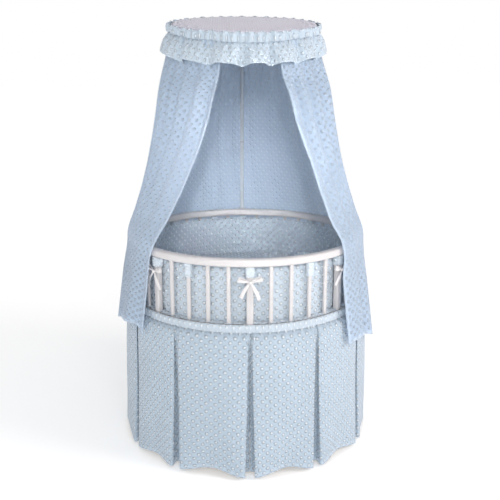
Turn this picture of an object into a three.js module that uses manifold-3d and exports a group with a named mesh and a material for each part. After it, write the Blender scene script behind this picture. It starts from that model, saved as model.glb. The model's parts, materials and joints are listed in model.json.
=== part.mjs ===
// Round bassinet with slatted sides, a post-held canopy with drapes, a floor-length pleated
// skirt and casters. Millimetres, +Z up. The origin is on the floor under the middle of the
// basket, and the front (the side open between the drapes) faces -Y.
import * as THREE from "three";
import { mergeVertices } from "three/addons/utils/BufferGeometryUtils.js";
import Module from "manifold-3d";

const wasm = await Module();
wasm.setup();

// ---------------------------------------------------------------- driving dimensions
const gap = 0.3; // between pieces that touch
const cutOver = 5; // how far a cutting tool runs past the face it cuts
const ringSteps = 48; // flats round every full-size ring
const slideGap = 2.5; // around a piece that lifts out

// basket
const ringRadius = 345; // circle through the middle of the posts and slats
const railTop = 634;
const railHeight = 22;
const railWidth = 24;
const ringTop = 449; // top of the lower ring
const ringHeight = 40;
const boardThickness = 12;
const boardLedge = 12; // width of the step that carries the mattress board
const grooveDepth = 8;
const frontBay = 48; // degrees from the front post to the posts beside it
const slatsPerBay = 4;
const slatWidth = 11;
const slatThickness = 8;
const postWidth = 19;
const postThickness = 16;

// legs, shelf and casters
const legAngles = { front_right: 45, back_right: 135, back_left: 225, front_left: 315 };
const brakedLegs = ["front_right", "front_left"];
const legWidth = 30;
const legDepth = 20;
const forkHeadroom = 18; // from the top of the wheel to the leg
const shelfHeight = 110;
const shelfThickness = 12;
const boltRadius = 3;
const boltHeadRadius = 6;
const boltHeadHeight = 3.5;
const boltGrip = 12; // length of bolt inside the leg
const notchRun = 10; // how far the shelf's notches run past its edge
const wheelRadius = 22;
const wheelWidth = 16;
const axleRadius = 3;
const casterTrail = 18;
const stemRadius = 4;
const stemLength = 28;
const axleBoss = 6; // fork and cheek metal round the axle
const cheekThickness = 3;
const crownRim = 3.4; // crown's edge beyond the cheeks
const crownHeight = 4;
const leverPinRadius = 2;
const leverLength = 28;
const leverThickness = 4;
const leverBoss = 6; // cheek metal round the lever's pin
const leverSlope = 12; // degrees that the lever rises outwards
const cheekBehind = 11; // from the swivel axis back to the cheeks' rear edge

// soft goods of the basket
const bumperThickness = 13;
const bumperBelowRail = 6;
const padThickness = 25;
const sheetThickness = 1.8;
const bandHeight = 21;
const bandThickness = 8;
const hemClearance = 8; // from the skirt's hem to the floor
const skirtThickness = 4;
const skirtSwell = 14; // how far the skirt stands out just below the band
const skirtFlare = 20; // further growth down to the hem
const pleatCount = 12;
const pleatDepth = 22; // how far a pleat's middle lies inside the panels, at the hem
const pleatDepthAtBand = 3;
const skirtShoulder = 15; // height of the swell below the band
const pleatOpening = 2; // degrees from a pleat's middle to its edge, at the hem
const pleatOpeningAtBand = 0.6;

// canopy
const tubeRadius = 6.5;
const tubeWall = 1.7;
const socketWall = 2.2;
const socketHeight = 22;
const socketFloor = 4;
const socketCheek = 6.2; // wood beside the post in each socket
const lowerSocketAbove = 43; // lower socket's mouth above the lower ring
const ferruleHalf = 30;
const collarHeight = 4;
const hoopRadius = 219;
const hoopWire = 4;
const hoopHeight = 1261;
const clampReach = 10.3; // from the post's axis forward to the hoop's wire
const clampRise = 37.5; // from the post's top to the middle of the wire
const clampDepth = 16; // height of the clamp's head
const clampCradle = 1.3; // from the clamp's top up to the middle of the wire
const hoopTilt = 9.4; // degrees, front edge down
const clothThickness = 3;
const clothEase = 1; // room for the flats of a curved cloth
const coverRise = 4;
const headerHeight = 12;
const ruffleDrop = 66;
const ruffleFlare = 28;
const ruffleFlareBack = 22;
const ruffleWaves = 24;
const ruffleWaveDepth = 8;
const headerLean = 2; // how far the header stands outwards at its top
const drapeHem = 345;
const drapeParting = 21; // degrees from straight ahead to a front edge, at the hoop

// ---------------------------------------------------------------- sizes that follow
const slatHalf = slatThickness / 2;
const railBottom = railTop - railHeight;
const railInner = ringRadius - railWidth / 2;
const railOuter = ringRadius + railWidth / 2;
const grooveHalf = slatHalf + 1;
const ringBottom = ringTop - ringHeight;
const ringOuter = ringRadius + postThickness / 2;
const ringInner = railInner;
const ledgeInner = ringInner - boardLedge;
const boardTop = ringTop + 2;
const boardBottom = boardTop - boardThickness;
const sideBay = (180 - frontBay) / 3;
const bays = [frontBay, sideBay, sideBay, sideBay, sideBay, sideBay, sideBay, frontBay];
const postNames = [
  "front", "front_right", "right", "back_right", "back", "back_left", "left", "front_left",
];
const postAngles = bays.map((_, i) => bays.slice(0, i).reduce((sum, bay) => sum + bay, 0));
const tongue = grooveDepth - 2 * gap; // height of what sits in a groove

const ledgeFlat = ledgeInner * Math.cos(Math.PI / ringSteps); // the step's wall, at its flats
const legBottom = 2 * wheelRadius + forkHeadroom;
const legOuter = Math.sqrt(ledgeFlat ** 2 - (legWidth / 2) ** 2) - 2 * gap;
const legRadius = legOuter - legDepth / 2; // from the middle of the basket to a leg's middle
const boltHeight = (boardBottom + ringBottom) / 2;
const wheelHeight = wheelRadius;
const crownTop = legBottom - 2 * gap;
const crownRadius = wheelWidth / 2 + 2 * gap + cheekThickness + crownRim;
const leverPivot = { y: casterTrail + 16, z: 2 * wheelRadius + 7 };

const bandTop = ringTop + 2;
const bandBottom = bandTop - bandHeight;
const postCorner = Math.hypot(ringOuter, postWidth / 2);
const bandInner = (postCorner + gap) / Math.cos(Math.PI / ringSteps); // its flats clear the posts
const bandOuter = bandInner + bandThickness;
const bumperOuter = ringRadius - postThickness / 2 - 1;
const bumperInner = bumperOuter - bumperThickness;
const sheetOuter = bumperInner - slideGap;
const padRadius = sheetOuter - sheetThickness - gap;

const postCentre = railOuter + gap + socketWall + tubeRadius + gap; // canopy post behind the rail
const socketOuter = postCentre + tubeRadius + gap + socketWall;
const lowerSocketTop = ringTop + lowerSocketAbove;
const lowerSocketBottom = lowerSocketTop - socketHeight;
const tilt = THREE.MathUtils.degToRad(hoopTilt);
const hoopBehind = postCentre - clampReach - hoopRadius * Math.cos(tilt);
const hoopBack = {
  y: hoopBehind + hoopRadius * Math.cos(tilt),
  z: hoopHeight + hoopRadius * Math.sin(tilt),
};
const postTop = hoopBack.z - clampRise;
const postJoint = (lowerSocketTop + postTop) / 2;
const drapeTopRadius = hoopRadius + hoopWire + gap + clothEase + clothThickness;
const coverBottom = hoopWire + gap;
const ruffleInner = drapeTopRadius + gap;

// ---------------------------------------------------------------- materials
const finish = (color, roughness, metalness = 0) =>
  new THREE.MeshStandardMaterial({ color, roughness, metalness });
const whitePaint = finish(0xf4f1ee, 0.38);
const board = finish(0xd9c8a8, 0.7);
const steel = finish(0xb9bcc0, 0.35, 0.9);
const nylon = finish(0xdfe2e5, 0.5);
const tread = finish(0x2c2d30, 0.8);
const paintedTube = finish(0xdfe3e8, 0.35, 0.2);
const dottedFabric = finish(0xbcd3ea, 0.92);
const plainFabric = finish(0xd7e2f1, 0.9);
const foam = finish(0xf1eee2, 0.95);

// ---------------------------------------------------------------- helpers
const radians = THREE.MathUtils.degToRad;
const model = new THREE.Group();

function place(name, geometry, material, parent = model) {
  const mesh = new THREE.Mesh(geometry, material);
  mesh.name = name;
  parent.add(mesh);
  return mesh;
}

/** A group turned about the basket's middle, so that its -Y side faces the given angle. */
function turnedGroup(degrees) {
  const group = new THREE.Group();
  group.rotation.z = radians(degrees);
  model.add(group);
  return group;
}

/** Closed outline through corners [x, y, radius], counter-clockwise. */
function outline(corners) {
  const shape = new THREE.Shape();
  corners.forEach(([x, y, radius = 0], i) => {
    const corner = new THREE.Vector2(x, y);
    const towards = ([otherX, otherY]) => {
      const other = new THREE.Vector2(otherX, otherY);
      return corner.clone().lerp(other, radius / corner.distanceTo(other));
    };
    const start = towards(corners.at(i - 1));
    const end = towards(corners[(i + 1) % corners.length]);
    if (i === 0) shape.moveTo(start.x, start.y);
    else shape.lineTo(start.x, start.y);
    if (radius > 0) shape.quadraticCurveTo(x, y, end.x, end.y);
  });
  shape.closePath();
  return shape;
}

/** Rectangle from one corner to the other, with eased corners. */
function rectangle(x0, y0, x1, y1, radius = 0) {
  return outline([
    [x1, y0, radius],
    [x1, y1, radius],
    [x0, y1, radius],
    [x0, y0, radius],
  ]);
}

/** Solid of revolution about Z from an outline of [radius, height] corners. */
function turned(corners, segments = ringSteps) {
  const points = outline(corners).getPoints(1);
  if (corners.every(([radius]) => radius > 0)) points.push(points[0].clone());
  return new THREE.LatheGeometry(points, segments).rotateX(Math.PI / 2);
}

/** Solid of revolution that reaches the axis: its corners start and end on it. */
function turnedOnAxis(corners, segments = 24) {
  const points = corners.map(([radius, height]) => new THREE.Vector2(radius, height));
  return new THREE.LatheGeometry(points, segments).rotateX(Math.PI / 2);
}

/** Extrusion along Z of an outline in XY. */
function upright(shape, bottom, top, curveSegments = 3) {
  const options = { depth: top - bottom, bevelEnabled: false, curveSegments };
  return new THREE.ExtrudeGeometry(shape, options).translate(0, 0, bottom);
}

/** Extrusion along X, centred on it, of an outline drawn in YZ. */
function across(shape, width, curveSegments = 4) {
  const options = { depth: width, bevelEnabled: false, curveSegments };
  return new THREE.ExtrudeGeometry(shape, options)
    .translate(0, 0, -width / 2)
    .rotateX(Math.PI / 2)
    .rotateZ(Math.PI / 2);
}

const cylinder = (radius, bottom, top, segments = 16) =>
  turnedOnAxis([[0, bottom], [radius, bottom], [radius, top], [0, top]], segments);

function toSolid(geometry) {
  const bare = geometry.index ? geometry.toNonIndexed() : geometry.clone();
  bare.deleteAttribute("normal");
  bare.deleteAttribute("uv");
  const merged = mergeVertices(bare, 1e-3);
  const mesh = new wasm.Mesh({
    numProp: 3,
    vertProperties: new Float32Array(merged.attributes.position.array),
    triVerts: new Uint32Array(merged.index.array),
  });
  return new wasm.Manifold(mesh);
}

function toGeometry(solid) {
  const mesh = solid.getMesh();
  const geometry = new THREE.BufferGeometry();
  geometry.setAttribute("position", new THREE.BufferAttribute(mesh.vertProperties, 3));
  geometry.setIndex(new THREE.BufferAttribute(mesh.triVerts, 1));
  geometry.computeVertexNormals();
  return geometry;
}

const joined = (...geometries) =>
  toGeometry(geometries.map(toSolid).reduce((sum, solid) => sum.add(solid)));

const cut = (geometry, ...tools) =>
  toGeometry(tools.map(toSolid).reduce((rest, tool) => rest.subtract(tool), toSolid(geometry)));

/** Moves every vertex of a geometry by a rule that maps one Vector3 to another. */
function reshaped(geometry, rule) {
  const positions = geometry.attributes.position;
  const point = new THREE.Vector3();
  for (let i = 0; i < positions.count; i += 1) {
    const moved = rule(point.fromBufferAttribute(positions, i));
    positions.setXYZ(i, moved.x, moved.y, moved.z);
  }
  geometry.computeVertexNormals();
  return geometry;
}

/** Point on a circle about Z; the angle in radians starts at the front and grows towards +X. */
const around = (radius, angle, z) =>
  new THREE.Vector3(radius * Math.sin(angle), -radius * Math.cos(angle), z);

/** The angle of a point about Z, from the front towards +X, in 0 to 2 pi. */
const angleOf = (point) => (Math.atan2(point.x, -point.y) + 2 * Math.PI) % (2 * Math.PI);

// ---------------------------------------------------------------- basket frame
function addRings() {
  place(
    "top_rail",
    turned([
      [ringRadius + grooveHalf, railBottom],
      [railOuter, railBottom, 4],
      [railOuter, railTop, 5],
      [railInner, railTop, 5],
      [railInner, railBottom, 4],
      [ringRadius - grooveHalf, railBottom],
      [ringRadius - grooveHalf, railBottom + grooveDepth],
      [ringRadius + grooveHalf, railBottom + grooveDepth],
    ]),
    whitePaint,
  );
  const ring = turned([
    [ringOuter, ringBottom],
    [ringOuter, ringTop],
    [ringRadius + grooveHalf, ringTop],
    [ringRadius + grooveHalf, ringTop - grooveDepth],
    [ringRadius - grooveHalf, ringTop - grooveDepth],
    [ringRadius - grooveHalf, ringTop],
    [ringInner, ringTop],
    [ringInner, boardBottom - gap],
    [ledgeInner, boardBottom - gap],
    [ledgeInner, ringBottom],
  ]);
  const boltHoles = Object.values(legAngles).map((degrees) =>
    boltAxis(
      cylinder(boltRadius + gap, ledgeInner - cutOver, ringOuter + cutOver, 12),
    ).rotateZ(radians(degrees)),
  );
  place("lower_ring", cut(ring, ...boltHoles), whitePaint);
  place("mattress_board", cylinder(ringInner - 2 * gap, boardBottom, boardTop, ringSteps), board);
}

/** Turns a shape made along +Z so that it lies along -Y at the bolts' height. */
function boltAxis(geometry) {
  return geometry.rotateX(Math.PI / 2).translate(0, 0, boltHeight);
}

function addPosts() {
  const bottom = ringTop + gap;
  const top = railBottom - gap;
  const section = rectangle(
    -postWidth / 2,
    -ringRadius - postThickness / 2,
    postWidth / 2,
    -ringRadius + postThickness / 2,
    3,
  );
  const tenonHalf = postWidth / 2 - 3;
  const tenon = rectangle(-tenonHalf, -ringRadius - slatHalf, tenonHalf, -ringRadius + slatHalf);
  postAngles.forEach((degrees, i) => {
    const geometry = joined(
      upright(section, bottom, top, 1),
      upright(tenon, ringTop - tongue, railBottom + tongue),
    );
    place(`post_${postNames[i]}`, geometry, whitePaint, turnedGroup(degrees));
  });
}

/** Curved strip in a groove, from one angle to another. */
function grooveStrip(fromAngle, toAngle, bottom, top) {
  const quarter = Math.PI / 2; // Shape arcs are measured from +X, the basket's angles from -Y
  const shape = new THREE.Shape();
  shape.absarc(0, 0, ringRadius + slatHalf, fromAngle - quarter, toAngle - quarter, false);
  shape.absarc(0, 0, ringRadius - slatHalf, toAngle - quarter, fromAngle - quarter, true);
  shape.closePath();
  return upright(shape, bottom, top, 8);
}

/** Four slats of one bay with the strips that hold them in the two grooves. */
function addSlatPanels() {
  const bottom = ringTop - tongue;
  const top = railBottom + tongue;
  const section = rectangle(-slatWidth / 2, -slatHalf, slatWidth / 2, slatHalf);
  const postHalfAngle = (postWidth / 2 + 1) / ringRadius;
  bays.forEach((bay, i) => {
    const start = radians(postAngles[i]);
    const end = start + radians(bay);
    const strips = [
      grooveStrip(start + postHalfAngle, end - postHalfAngle, bottom, bottom + tongue - gap),
      grooveStrip(start + postHalfAngle, end - postHalfAngle, top - tongue + gap, top),
    ];
    const slats = Array.from({ length: slatsPerBay }, (_, k) =>
      upright(section, bottom, top, 1)
        .translate(0, -ringRadius, 0)
        .rotateZ(start + (radians(bay) * (k + 1)) / (slatsPerBay + 1)),
    );
    place(`slat_panel_${i + 1}`, joined(...strips, ...slats), whitePaint);
  });
}

// ---------------------------------------------------------------- legs and shelf
function addLegs() {
  const leg = rectangle(
    -legWidth / 2,
    -legRadius - legDepth / 2,
    legWidth / 2,
    -legRadius + legDepth / 2,
    3,
  );
  const stemHole = cylinder(stemRadius + gap, legBottom - cutOver, legBottom + stemLength + 1, 12);
  const boltHole = cylinder(boltRadius + gap, ledgeInner - boltGrip - 1, ledgeInner, 12);
  const bolt = turnedOnAxis(
    [
      [0, ledgeInner - boltGrip],
      [boltRadius, ledgeInner - boltGrip],
      [boltRadius, ringOuter + gap],
      [boltHeadRadius, ringOuter + gap],
      [boltHeadRadius, ringOuter + gap + boltHeadHeight],
      [0, ringOuter + gap + boltHeadHeight],
    ],
    12,
  );
  for (const [corner, degrees] of Object.entries(legAngles)) {
    const group = turnedGroup(degrees);
    const geometry = cut(
      upright(leg, legBottom, boardBottom - gap, 2),
      stemHole.clone().translate(0, -legRadius, 0),
      boltAxis(boltHole.clone()),
    );
    place(`leg_${corner}`, geometry, whitePaint, group);
    place(`leg_bolt_${corner}`, boltAxis(bolt.clone()), steel, group);
  }
}

function addShelf() {
  const half = { x: legWidth / 2 + gap, y: legDepth / 2 + gap };
  const notches = Object.values(legAngles).map((degrees) => {
    const notch = rectangle(
      -half.x,
      -legRadius - half.y - notchRun,
      half.x,
      -legRadius + half.y,
    );
    const slot = upright(notch, shelfHeight - cutOver, shelfHeight + shelfThickness + cutOver);
    return slot.rotateZ(radians(degrees));
  });
  const disc = cylinder(
    legRadius + legDepth / 2,
    shelfHeight,
    shelfHeight + shelfThickness,
    ringSteps,
  );
  place("storage_shelf", cut(disc, ...notches), board);
}

// ---------------------------------------------------------------- casters
/** Fork that swivels in the leg: crown, stem and two cheeks around the wheel. */
function forkGeometry(braked) {
  const inner = wheelWidth / 2 + 2 * gap;
  const crownBottom = crownTop - crownHeight;
  const cheek = outline([
    [casterTrail + axleBoss, wheelHeight - axleBoss, 4],
    [leverPivot.y + leverBoss, leverPivot.z - leverBoss + 1, 4],
    [leverPivot.y + leverBoss, crownTop - 1, 3],
    [-cheekBehind, crownTop - 1, 3],
    [-cheekBehind, crownBottom - 4, 3],
    [casterTrail - axleBoss, wheelHeight - axleBoss, 4],
  ]);
  const cheekAt = (side) =>
    across(cheek, cheekThickness, 2).translate(side * (inner + cheekThickness / 2), 0, 0);
  const body = joined(
    cylinder(crownRadius, crownBottom, crownTop, 12),
    cylinder(stemRadius, crownTop - 1, legBottom + stemLength, 12),
    cheekAt(1),
    cheekAt(-1),
  );
  const pinHole = (radius, y, z) =>
    cylinder(radius, -30, 30, 12).rotateY(Math.PI / 2).translate(0, y, z);
  const axleHole = pinHole(axleRadius + gap, casterTrail, wheelHeight);
  if (!braked) return cut(body, axleHole);
  return cut(body, axleHole, pinHole(leverPinRadius + gap, leverPivot.y, leverPivot.z));
}

function wheelGeometry() {
  const half = wheelWidth / 2;
  const bore = axleRadius + gap;
  return turned(
    [
      [bore, -half],
      [wheelRadius - 7, -half + 1.5],
      [wheelRadius - 1.5, -half],
      [wheelRadius, -half + 3],
      [wheelRadius, half - 3],
      [wheelRadius - 1.5, half],
      [wheelRadius - 7, half - 1.5],
      [bore, half],
    ],
    18,
  )
    .rotateY(Math.PI / 2)
    .translate(0, casterTrail, wheelHeight);
}

function axleGeometry() {
  const half = wheelWidth / 2 + 2 * gap + cheekThickness;
  return cylinder(axleRadius, -half, half, 12)
    .rotateY(Math.PI / 2)
    .translate(0, casterTrail, wheelHeight);
}

/** Foot lever that tips down on its pin between the cheeks. */
function leverGeometry() {
  const rise = leverLength * Math.sin(radians(leverSlope));
  const plate = outline([
    [-5, -4, 3],
    [6, -3, 1],
    [leverLength, rise - leverThickness, 1.5],
    [leverLength, rise, 1.5],
    [5, 4.5, 2],
    [-5, 4, 3],
  ]);
  const pinHalf = wheelWidth / 2 + 2 * gap + cheekThickness;
  return joined(
    across(plate, wheelWidth, 2),
    cylinder(leverPinRadius, -pinHalf, pinHalf, 12).rotateY(Math.PI / 2),
  ).translate(0, leverPivot.y, leverPivot.z);
}

function addCasters() {
  for (const [corner, degrees] of Object.entries(legAngles)) {
    const braked = brakedLegs.includes(corner);
    const foot = new THREE.Group();
    foot.position.y = -legRadius;
    turnedGroup(degrees).add(foot);
    place(`caster_fork_${corner}`, forkGeometry(braked), nylon, foot);
    place(`caster_axle_${corner}`, axleGeometry(), steel, foot);
    place(`caster_wheel_${corner}`, wheelGeometry(), tread, foot);
    if (braked) place(`brake_lever_${corner}`, leverGeometry(), nylon, foot);
  }
}

// ---------------------------------------------------------------- soft goods of the basket
function addBedding() {
  place(
    "bumper",
    turned([
      [bumperOuter, boardTop + gap, 3],
      [bumperOuter, railBottom - bumperBelowRail, 5],
      [bumperInner, railBottom - bumperBelowRail, 5],
      [bumperInner, boardTop + gap, 3],
    ]),
    dottedFabric,
  );
  const padBottom = boardTop + gap;
  const padTop = padBottom + padThickness;
  place(
    "mattress_pad",
    turnedOnAxis(
      [[0, padBottom], [padRadius - 3, padBottom], [padRadius, padBottom + 3],
        [padRadius, padTop - 4], [padRadius - 4, padTop], [0, padTop]],
      ringSteps,
    ),
    foam,
  );
  const skin = padRadius + gap;
  place(
    "fitted_sheet",
    turnedOnAxis(
      [[0, padTop + gap], [skin - 4, padTop + gap], [skin, padTop - 4], [skin, padBottom + 3],
        [sheetOuter, padBottom + 3], [sheetOuter, padTop - 4],
        [sheetOuter - 4, padTop + gap + sheetThickness], [0, padTop + gap + sheetThickness]],
      ringSteps,
    ),
    dottedFabric,
  );
}

function addWaistBand() {
  place(
    "waist_band",
    turned([
      [bandInner, bandBottom, 1],
      [bandOuter, bandBottom, 6],
      [bandOuter, bandTop, 6],
      [bandInner, bandTop, 2],
    ]),
    plainFabric,
  );
}

/** Floor-length skirt in flat panels between inverted box pleats. */
function addSkirt() {
  const stations = 6; // lathe steps in each panel
  const top = bandBottom - gap;
  const shoulder = top - skirtShoulder;
  const waist = bandOuter - 1;
  const hemRadius = waist + skirtSwell + skirtFlare;
  const inward = skirtThickness;
  const profile = [
    [hemRadius, hemClearance],
    [waist + skirtSwell, shoulder],
    [waist, top],
    [waist - inward, top],
    [waist + skirtSwell - inward, shoulder],
    [hemRadius - inward, hemClearance],
  ];
  const panel = (2 * Math.PI) / pleatCount;
  const fold = (point) => {
    const radius = Math.hypot(point.x, point.y);
    const opened = (top - point.z) / (top - hemClearance); // 0 at the band, 1 at the hem
    const step = Math.round((angleOf(point) / panel) * stations);
    const station = step % stations;
    const start = panel * Math.floor(step / stations);
    const edge = radians(THREE.MathUtils.lerp(pleatOpeningAtBand, pleatOpening, opened));
    const depth = THREE.MathUtils.lerp(pleatDepthAtBand, pleatDepth, opened);
    if (station === 0) return around(radius - depth, start, point.z);
    const along = (station - 1) / (stations - 2);
    return around(radius, start + edge + (panel - 2 * edge) * along, point.z);
  };
  const skirt = turned(profile, pleatCount * stations);
  place("skirt", reshaped(skirt, fold), dottedFabric);
}

// ---------------------------------------------------------------- canopy
const canopyHead = new THREE.Group(); // hoop, cover and ruffle, tilted together
canopyHead.position.set(0, hoopBehind, hoopHeight);
canopyHead.rotation.x = tilt;
model.add(canopyHead);

function addPost() {
  const bore = tubeRadius - tubeWall;
  const tube = (bottom, top) =>
    turned([[tubeRadius, bottom], [tubeRadius, top], [bore, top], [bore, bottom]], 16)
      .translate(0, postCentre, 0);
  const collarBottom = postJoint - collarHeight / 2;
  const collarTop = postJoint + collarHeight / 2;
  const ferrule = turnedOnAxis(
    [[0, postJoint - ferruleHalf], [bore - gap, postJoint - ferruleHalf], [bore - gap, collarBottom],
      [tubeRadius, collarBottom], [tubeRadius, collarTop], [bore - gap, collarTop],
      [bore - gap, postJoint + ferruleHalf], [0, postJoint + ferruleHalf]],
    16,
  ).translate(0, postCentre, 0);
  const tubeFoot = lowerSocketBottom + socketFloor + gap;
  place("canopy_post_lower", tube(tubeFoot, collarBottom - gap), paintedTube);
  place("canopy_post_ferrule", ferrule, steel);
  place("canopy_post_upper", tube(collarTop + gap, postTop), paintedTube);
}

function addSockets() {
  const hole = (bottom, top) =>
    cylinder(tubeRadius + gap, bottom, top, 16).translate(0, postCentre, 0);
  const half = tubeRadius + gap + socketCheek;
  const block = (front, bottom, top) =>
    upright(rectangle(-half, front, half, socketOuter, 2), bottom, top, 2);
  place(
    "socket_upper",
    cut(block(railOuter + gap, railBottom + gap, railTop - gap), hole(railBottom, railTop)),
    whitePaint,
  );
  place(
    "socket_lower",
    cut(
      block(ringOuter + gap, lowerSocketBottom, lowerSocketTop),
      hole(lowerSocketBottom + socketFloor, lowerSocketTop + cutOver),
    ),
    whitePaint,
  );
}

/** Block on the post's top that reaches forward and up to cradle the hoop's wire. */
function addHoopAndClamp() {
  const hoop = new THREE.TorusGeometry(hoopRadius, hoopWire, 8, ringSteps);
  place("canopy_hoop", hoop, paintedTube, canopyHead);
  const bottom = postTop + gap;
  const top = hoopBack.z - clampCradle;
  const back = postCentre + tubeRadius;
  const arm = outline([
    [postCentre - tubeRadius, bottom],
    [back, bottom],
    [back - 0.5, bottom + 2],
    [hoopBack.y + hoopWire + 1, top - 5],
    [hoopBack.y + hoopWire, top],
    [hoopBack.y - hoopWire - 2, top],
    [hoopBack.y - hoopWire - 2, top - clampDepth],
  ]);
  const plug = cylinder(tubeRadius - tubeWall - gap, postTop - ferruleHalf, bottom + 1, 16);
  const wire = new THREE.TorusGeometry(hoopRadius, hoopWire + gap, 8, ringSteps)
    .rotateX(tilt)
    .translate(0, hoopBehind, hoopHeight);
  place(
    "hoop_clamp",
    cut(joined(across(arm, 2 * tubeRadius), plug.translate(0, postCentre, 0)), wire),
    whitePaint,
  );
}

function addCover() {
  const rim = ruffleInner - gap;
  place(
    "canopy_cover",
    turnedOnAxis(
      [[0, coverBottom], [rim, coverBottom], [rim, coverBottom + clothThickness],
        [rim / 2, coverBottom + clothThickness + coverRise * 0.75],
        [0, coverBottom + clothThickness + coverRise]],
      ringSteps,
    ),
    plainFabric,
    canopyHead,
  );
}

/** How much of the back a direction faces: 0 at the front and sides, 1 straight back. */
const backness = (angle) => Math.max(0, -Math.cos(angle)) ** 2;

/** Gathered ruffle with its small header, hung round the hoop. */
function addRuffle() {
  const seam = ruffleInner;
  const flareAt = (z) => THREE.MathUtils.clamp(-z / ruffleDrop, 0, 1);
  const profile = [
    [seam + clothThickness, -ruffleDrop],
    [seam + clothThickness, -1],
    [seam + clothThickness + headerLean, headerHeight],
    [seam + headerLean, headerHeight],
    [seam, -1],
    [seam, -ruffleDrop],
  ];
  const gather = (point) => {
    const angle = angleOf(point);
    const down = flareAt(point.z);
    const full = THREE.MathUtils.lerp(ruffleFlare, ruffleFlareBack, backness(angle));
    const wave = (ruffleWaveDepth * full * down) / ruffleFlare;
    const radius = Math.hypot(point.x, point.y) + full * down;
    return around(radius + wave * Math.sin(ruffleWaves * angle), angle, point.z);
  };
  place(
    "canopy_ruffle",
    reshaped(turned(profile, ruffleWaves * 3), gather),
    dottedFabric,
    canopyHead,
  );
}

// Sections of the drape, from the hoop down. Those of the head lie in the hoop's tilted plane, by
// depth below it; the others are level. Each has its reach from its own middle to the sides, to
// the front edges and to the back, and the angle from straight ahead to a front edge.
const backLine = postCentre + tubeRadius + 1 + clothThickness; // cloth just clear of the post
const headSection = (depth, side, front, edge = drapeParting) => ({
  depth,
  side: drapeTopRadius + side,
  front: drapeTopRadius + front,
  back: (backLine - hoopBehind - depth * Math.sin(tilt)) / Math.cos(tilt),
  edge,
});
const atSeam = (depth) => ({ ...headSection(depth, 0, 0), back: drapeTopRadius });
const headSections = [
  atSeam(1 - coverBottom),
  atSeam(1),
  headSection(36, 6.5, 5.5),
  headSection(90, 15.5, 10.5, drapeParting + 0.5),
];
const hoodFoot = { side: railOuter + 4.5, front: railOuter + 5 };
const hoodHead = headSections.at(-1);
/** Level section of the hood: shares from the rail, 0, to the head, 1. */
const hoodSection = (up, middle, side, front, edge) => ({
  z: THREE.MathUtils.lerp(railTop, hoopHeight, up),
  middle: hoopBehind * middle,
  side: THREE.MathUtils.lerp(hoodFoot.side, hoodHead.side, side),
  front: THREE.MathUtils.lerp(hoodFoot.front, hoodHead.front, front),
  back: backLine - hoopBehind * middle,
  edge: THREE.MathUtils.lerp(frontBay, drapeParting, edge),
});
const fallSection = (z, reach, back, edge = frontBay) => ({
  z, middle: 0, side: reach, front: reach, back, edge,
});
const levelSections = [
  hoodSection(0.61, 0.68, 0.865, 0.98, 0.78),
  hoodSection(0.36, 0.39, 0.61, 0.65, 0.48),
  hoodSection(0.135, 0.14, 0.23, 0.25, 0.26),
  fallSection(railTop + 4, railOuter + 5, socketOuter + 4, frontBay - 1.5),
  fallSection(railBottom - 10, railOuter + 7, socketOuter + 5),
  fallSection(ringTop + 21, bandOuter + 18, socketOuter + 11),
  fallSection(drapeHem, bandOuter + skirtSwell + 20, socketOuter + 20),
];

/** Point of a drape section: across runs 0 to 1 round the back, inward 0 or 1 into the cloth. */
function sectionPoint(section, across01, inward) {
  const edge = radians(section.edge);
  const angle = THREE.MathUtils.lerp(edge, 2 * Math.PI - edge, across01);
  const facing = Math.max(0, Math.cos(angle)) ** 2;
  const reach =
    section.side +
    (section.front - section.side) * facing +
    (section.back - section.side) * backness(angle);
  return around(reach - inward * clothThickness, angle, 0);
}

function drapeRow(row, across01, inward) {
  if (row < headSections.length) {
    const section = headSections[row];
    return sectionPoint(section, across01, inward)
      .setZ(-section.depth)
      .applyAxisAngle(new THREE.Vector3(1, 0, 0), tilt)
      .add(canopyHead.position);
  }
  const section = levelSections[row - headSections.length];
  return sectionPoint(section, across01, inward).add(
    new THREE.Vector3(0, section.middle, section.z),
  );
}

/** One sheet from front edge to front edge, round the back of the hoop and the rail. */
function addDrape() {
  const rows = headSections.length + levelSections.length - 1;
  const grid = new THREE.BoxGeometry(1, 1, rows, 30, 1, rows);
  place(
    "canopy_drape",
    reshaped(grid, ({ x, y, z }) => drapeRow(Math.round(rows / 2 - z), x + 0.5, y + 0.5)),
    dottedFabric,
  );
}

// ---------------------------------------------------------------- assembly
addRings();
addPosts();
addSlatPanels();
addLegs();
addShelf();
addCasters();
addBedding();
addWaistBand();
addSkirt();
addSockets();
addPost();
addHoopAndClamp();
addCover();
addRuffle();
addDrape();

export default model;
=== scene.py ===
"""Round bassinet with a post-held canopy: its cloth, ribbons, painted wood and small studio."""

import json
import math

import bpy
import numpy as np
from bpy.props import FloatProperty, FloatVectorProperty, IntProperty, PointerProperty
from mathutils import Matrix, Vector


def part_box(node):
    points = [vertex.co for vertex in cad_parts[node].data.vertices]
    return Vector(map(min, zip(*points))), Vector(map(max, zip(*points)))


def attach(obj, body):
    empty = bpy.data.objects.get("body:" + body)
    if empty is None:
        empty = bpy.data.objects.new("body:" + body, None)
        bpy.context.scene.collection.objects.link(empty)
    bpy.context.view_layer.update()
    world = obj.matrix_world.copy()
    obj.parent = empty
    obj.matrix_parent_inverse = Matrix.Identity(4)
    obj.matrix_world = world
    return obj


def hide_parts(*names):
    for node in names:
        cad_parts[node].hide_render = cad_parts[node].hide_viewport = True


bl_info = {
    "name": "Round Bassinet",
    "version": (1, 0, 0),
    "blender": (4, 5, 0),
    "location": "View3D > Sidebar > Bassinet",
    "description": "Builds the cloth, ribbons and painted wood of a round bassinet with a canopy",
    "category": "Object",
}

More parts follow.
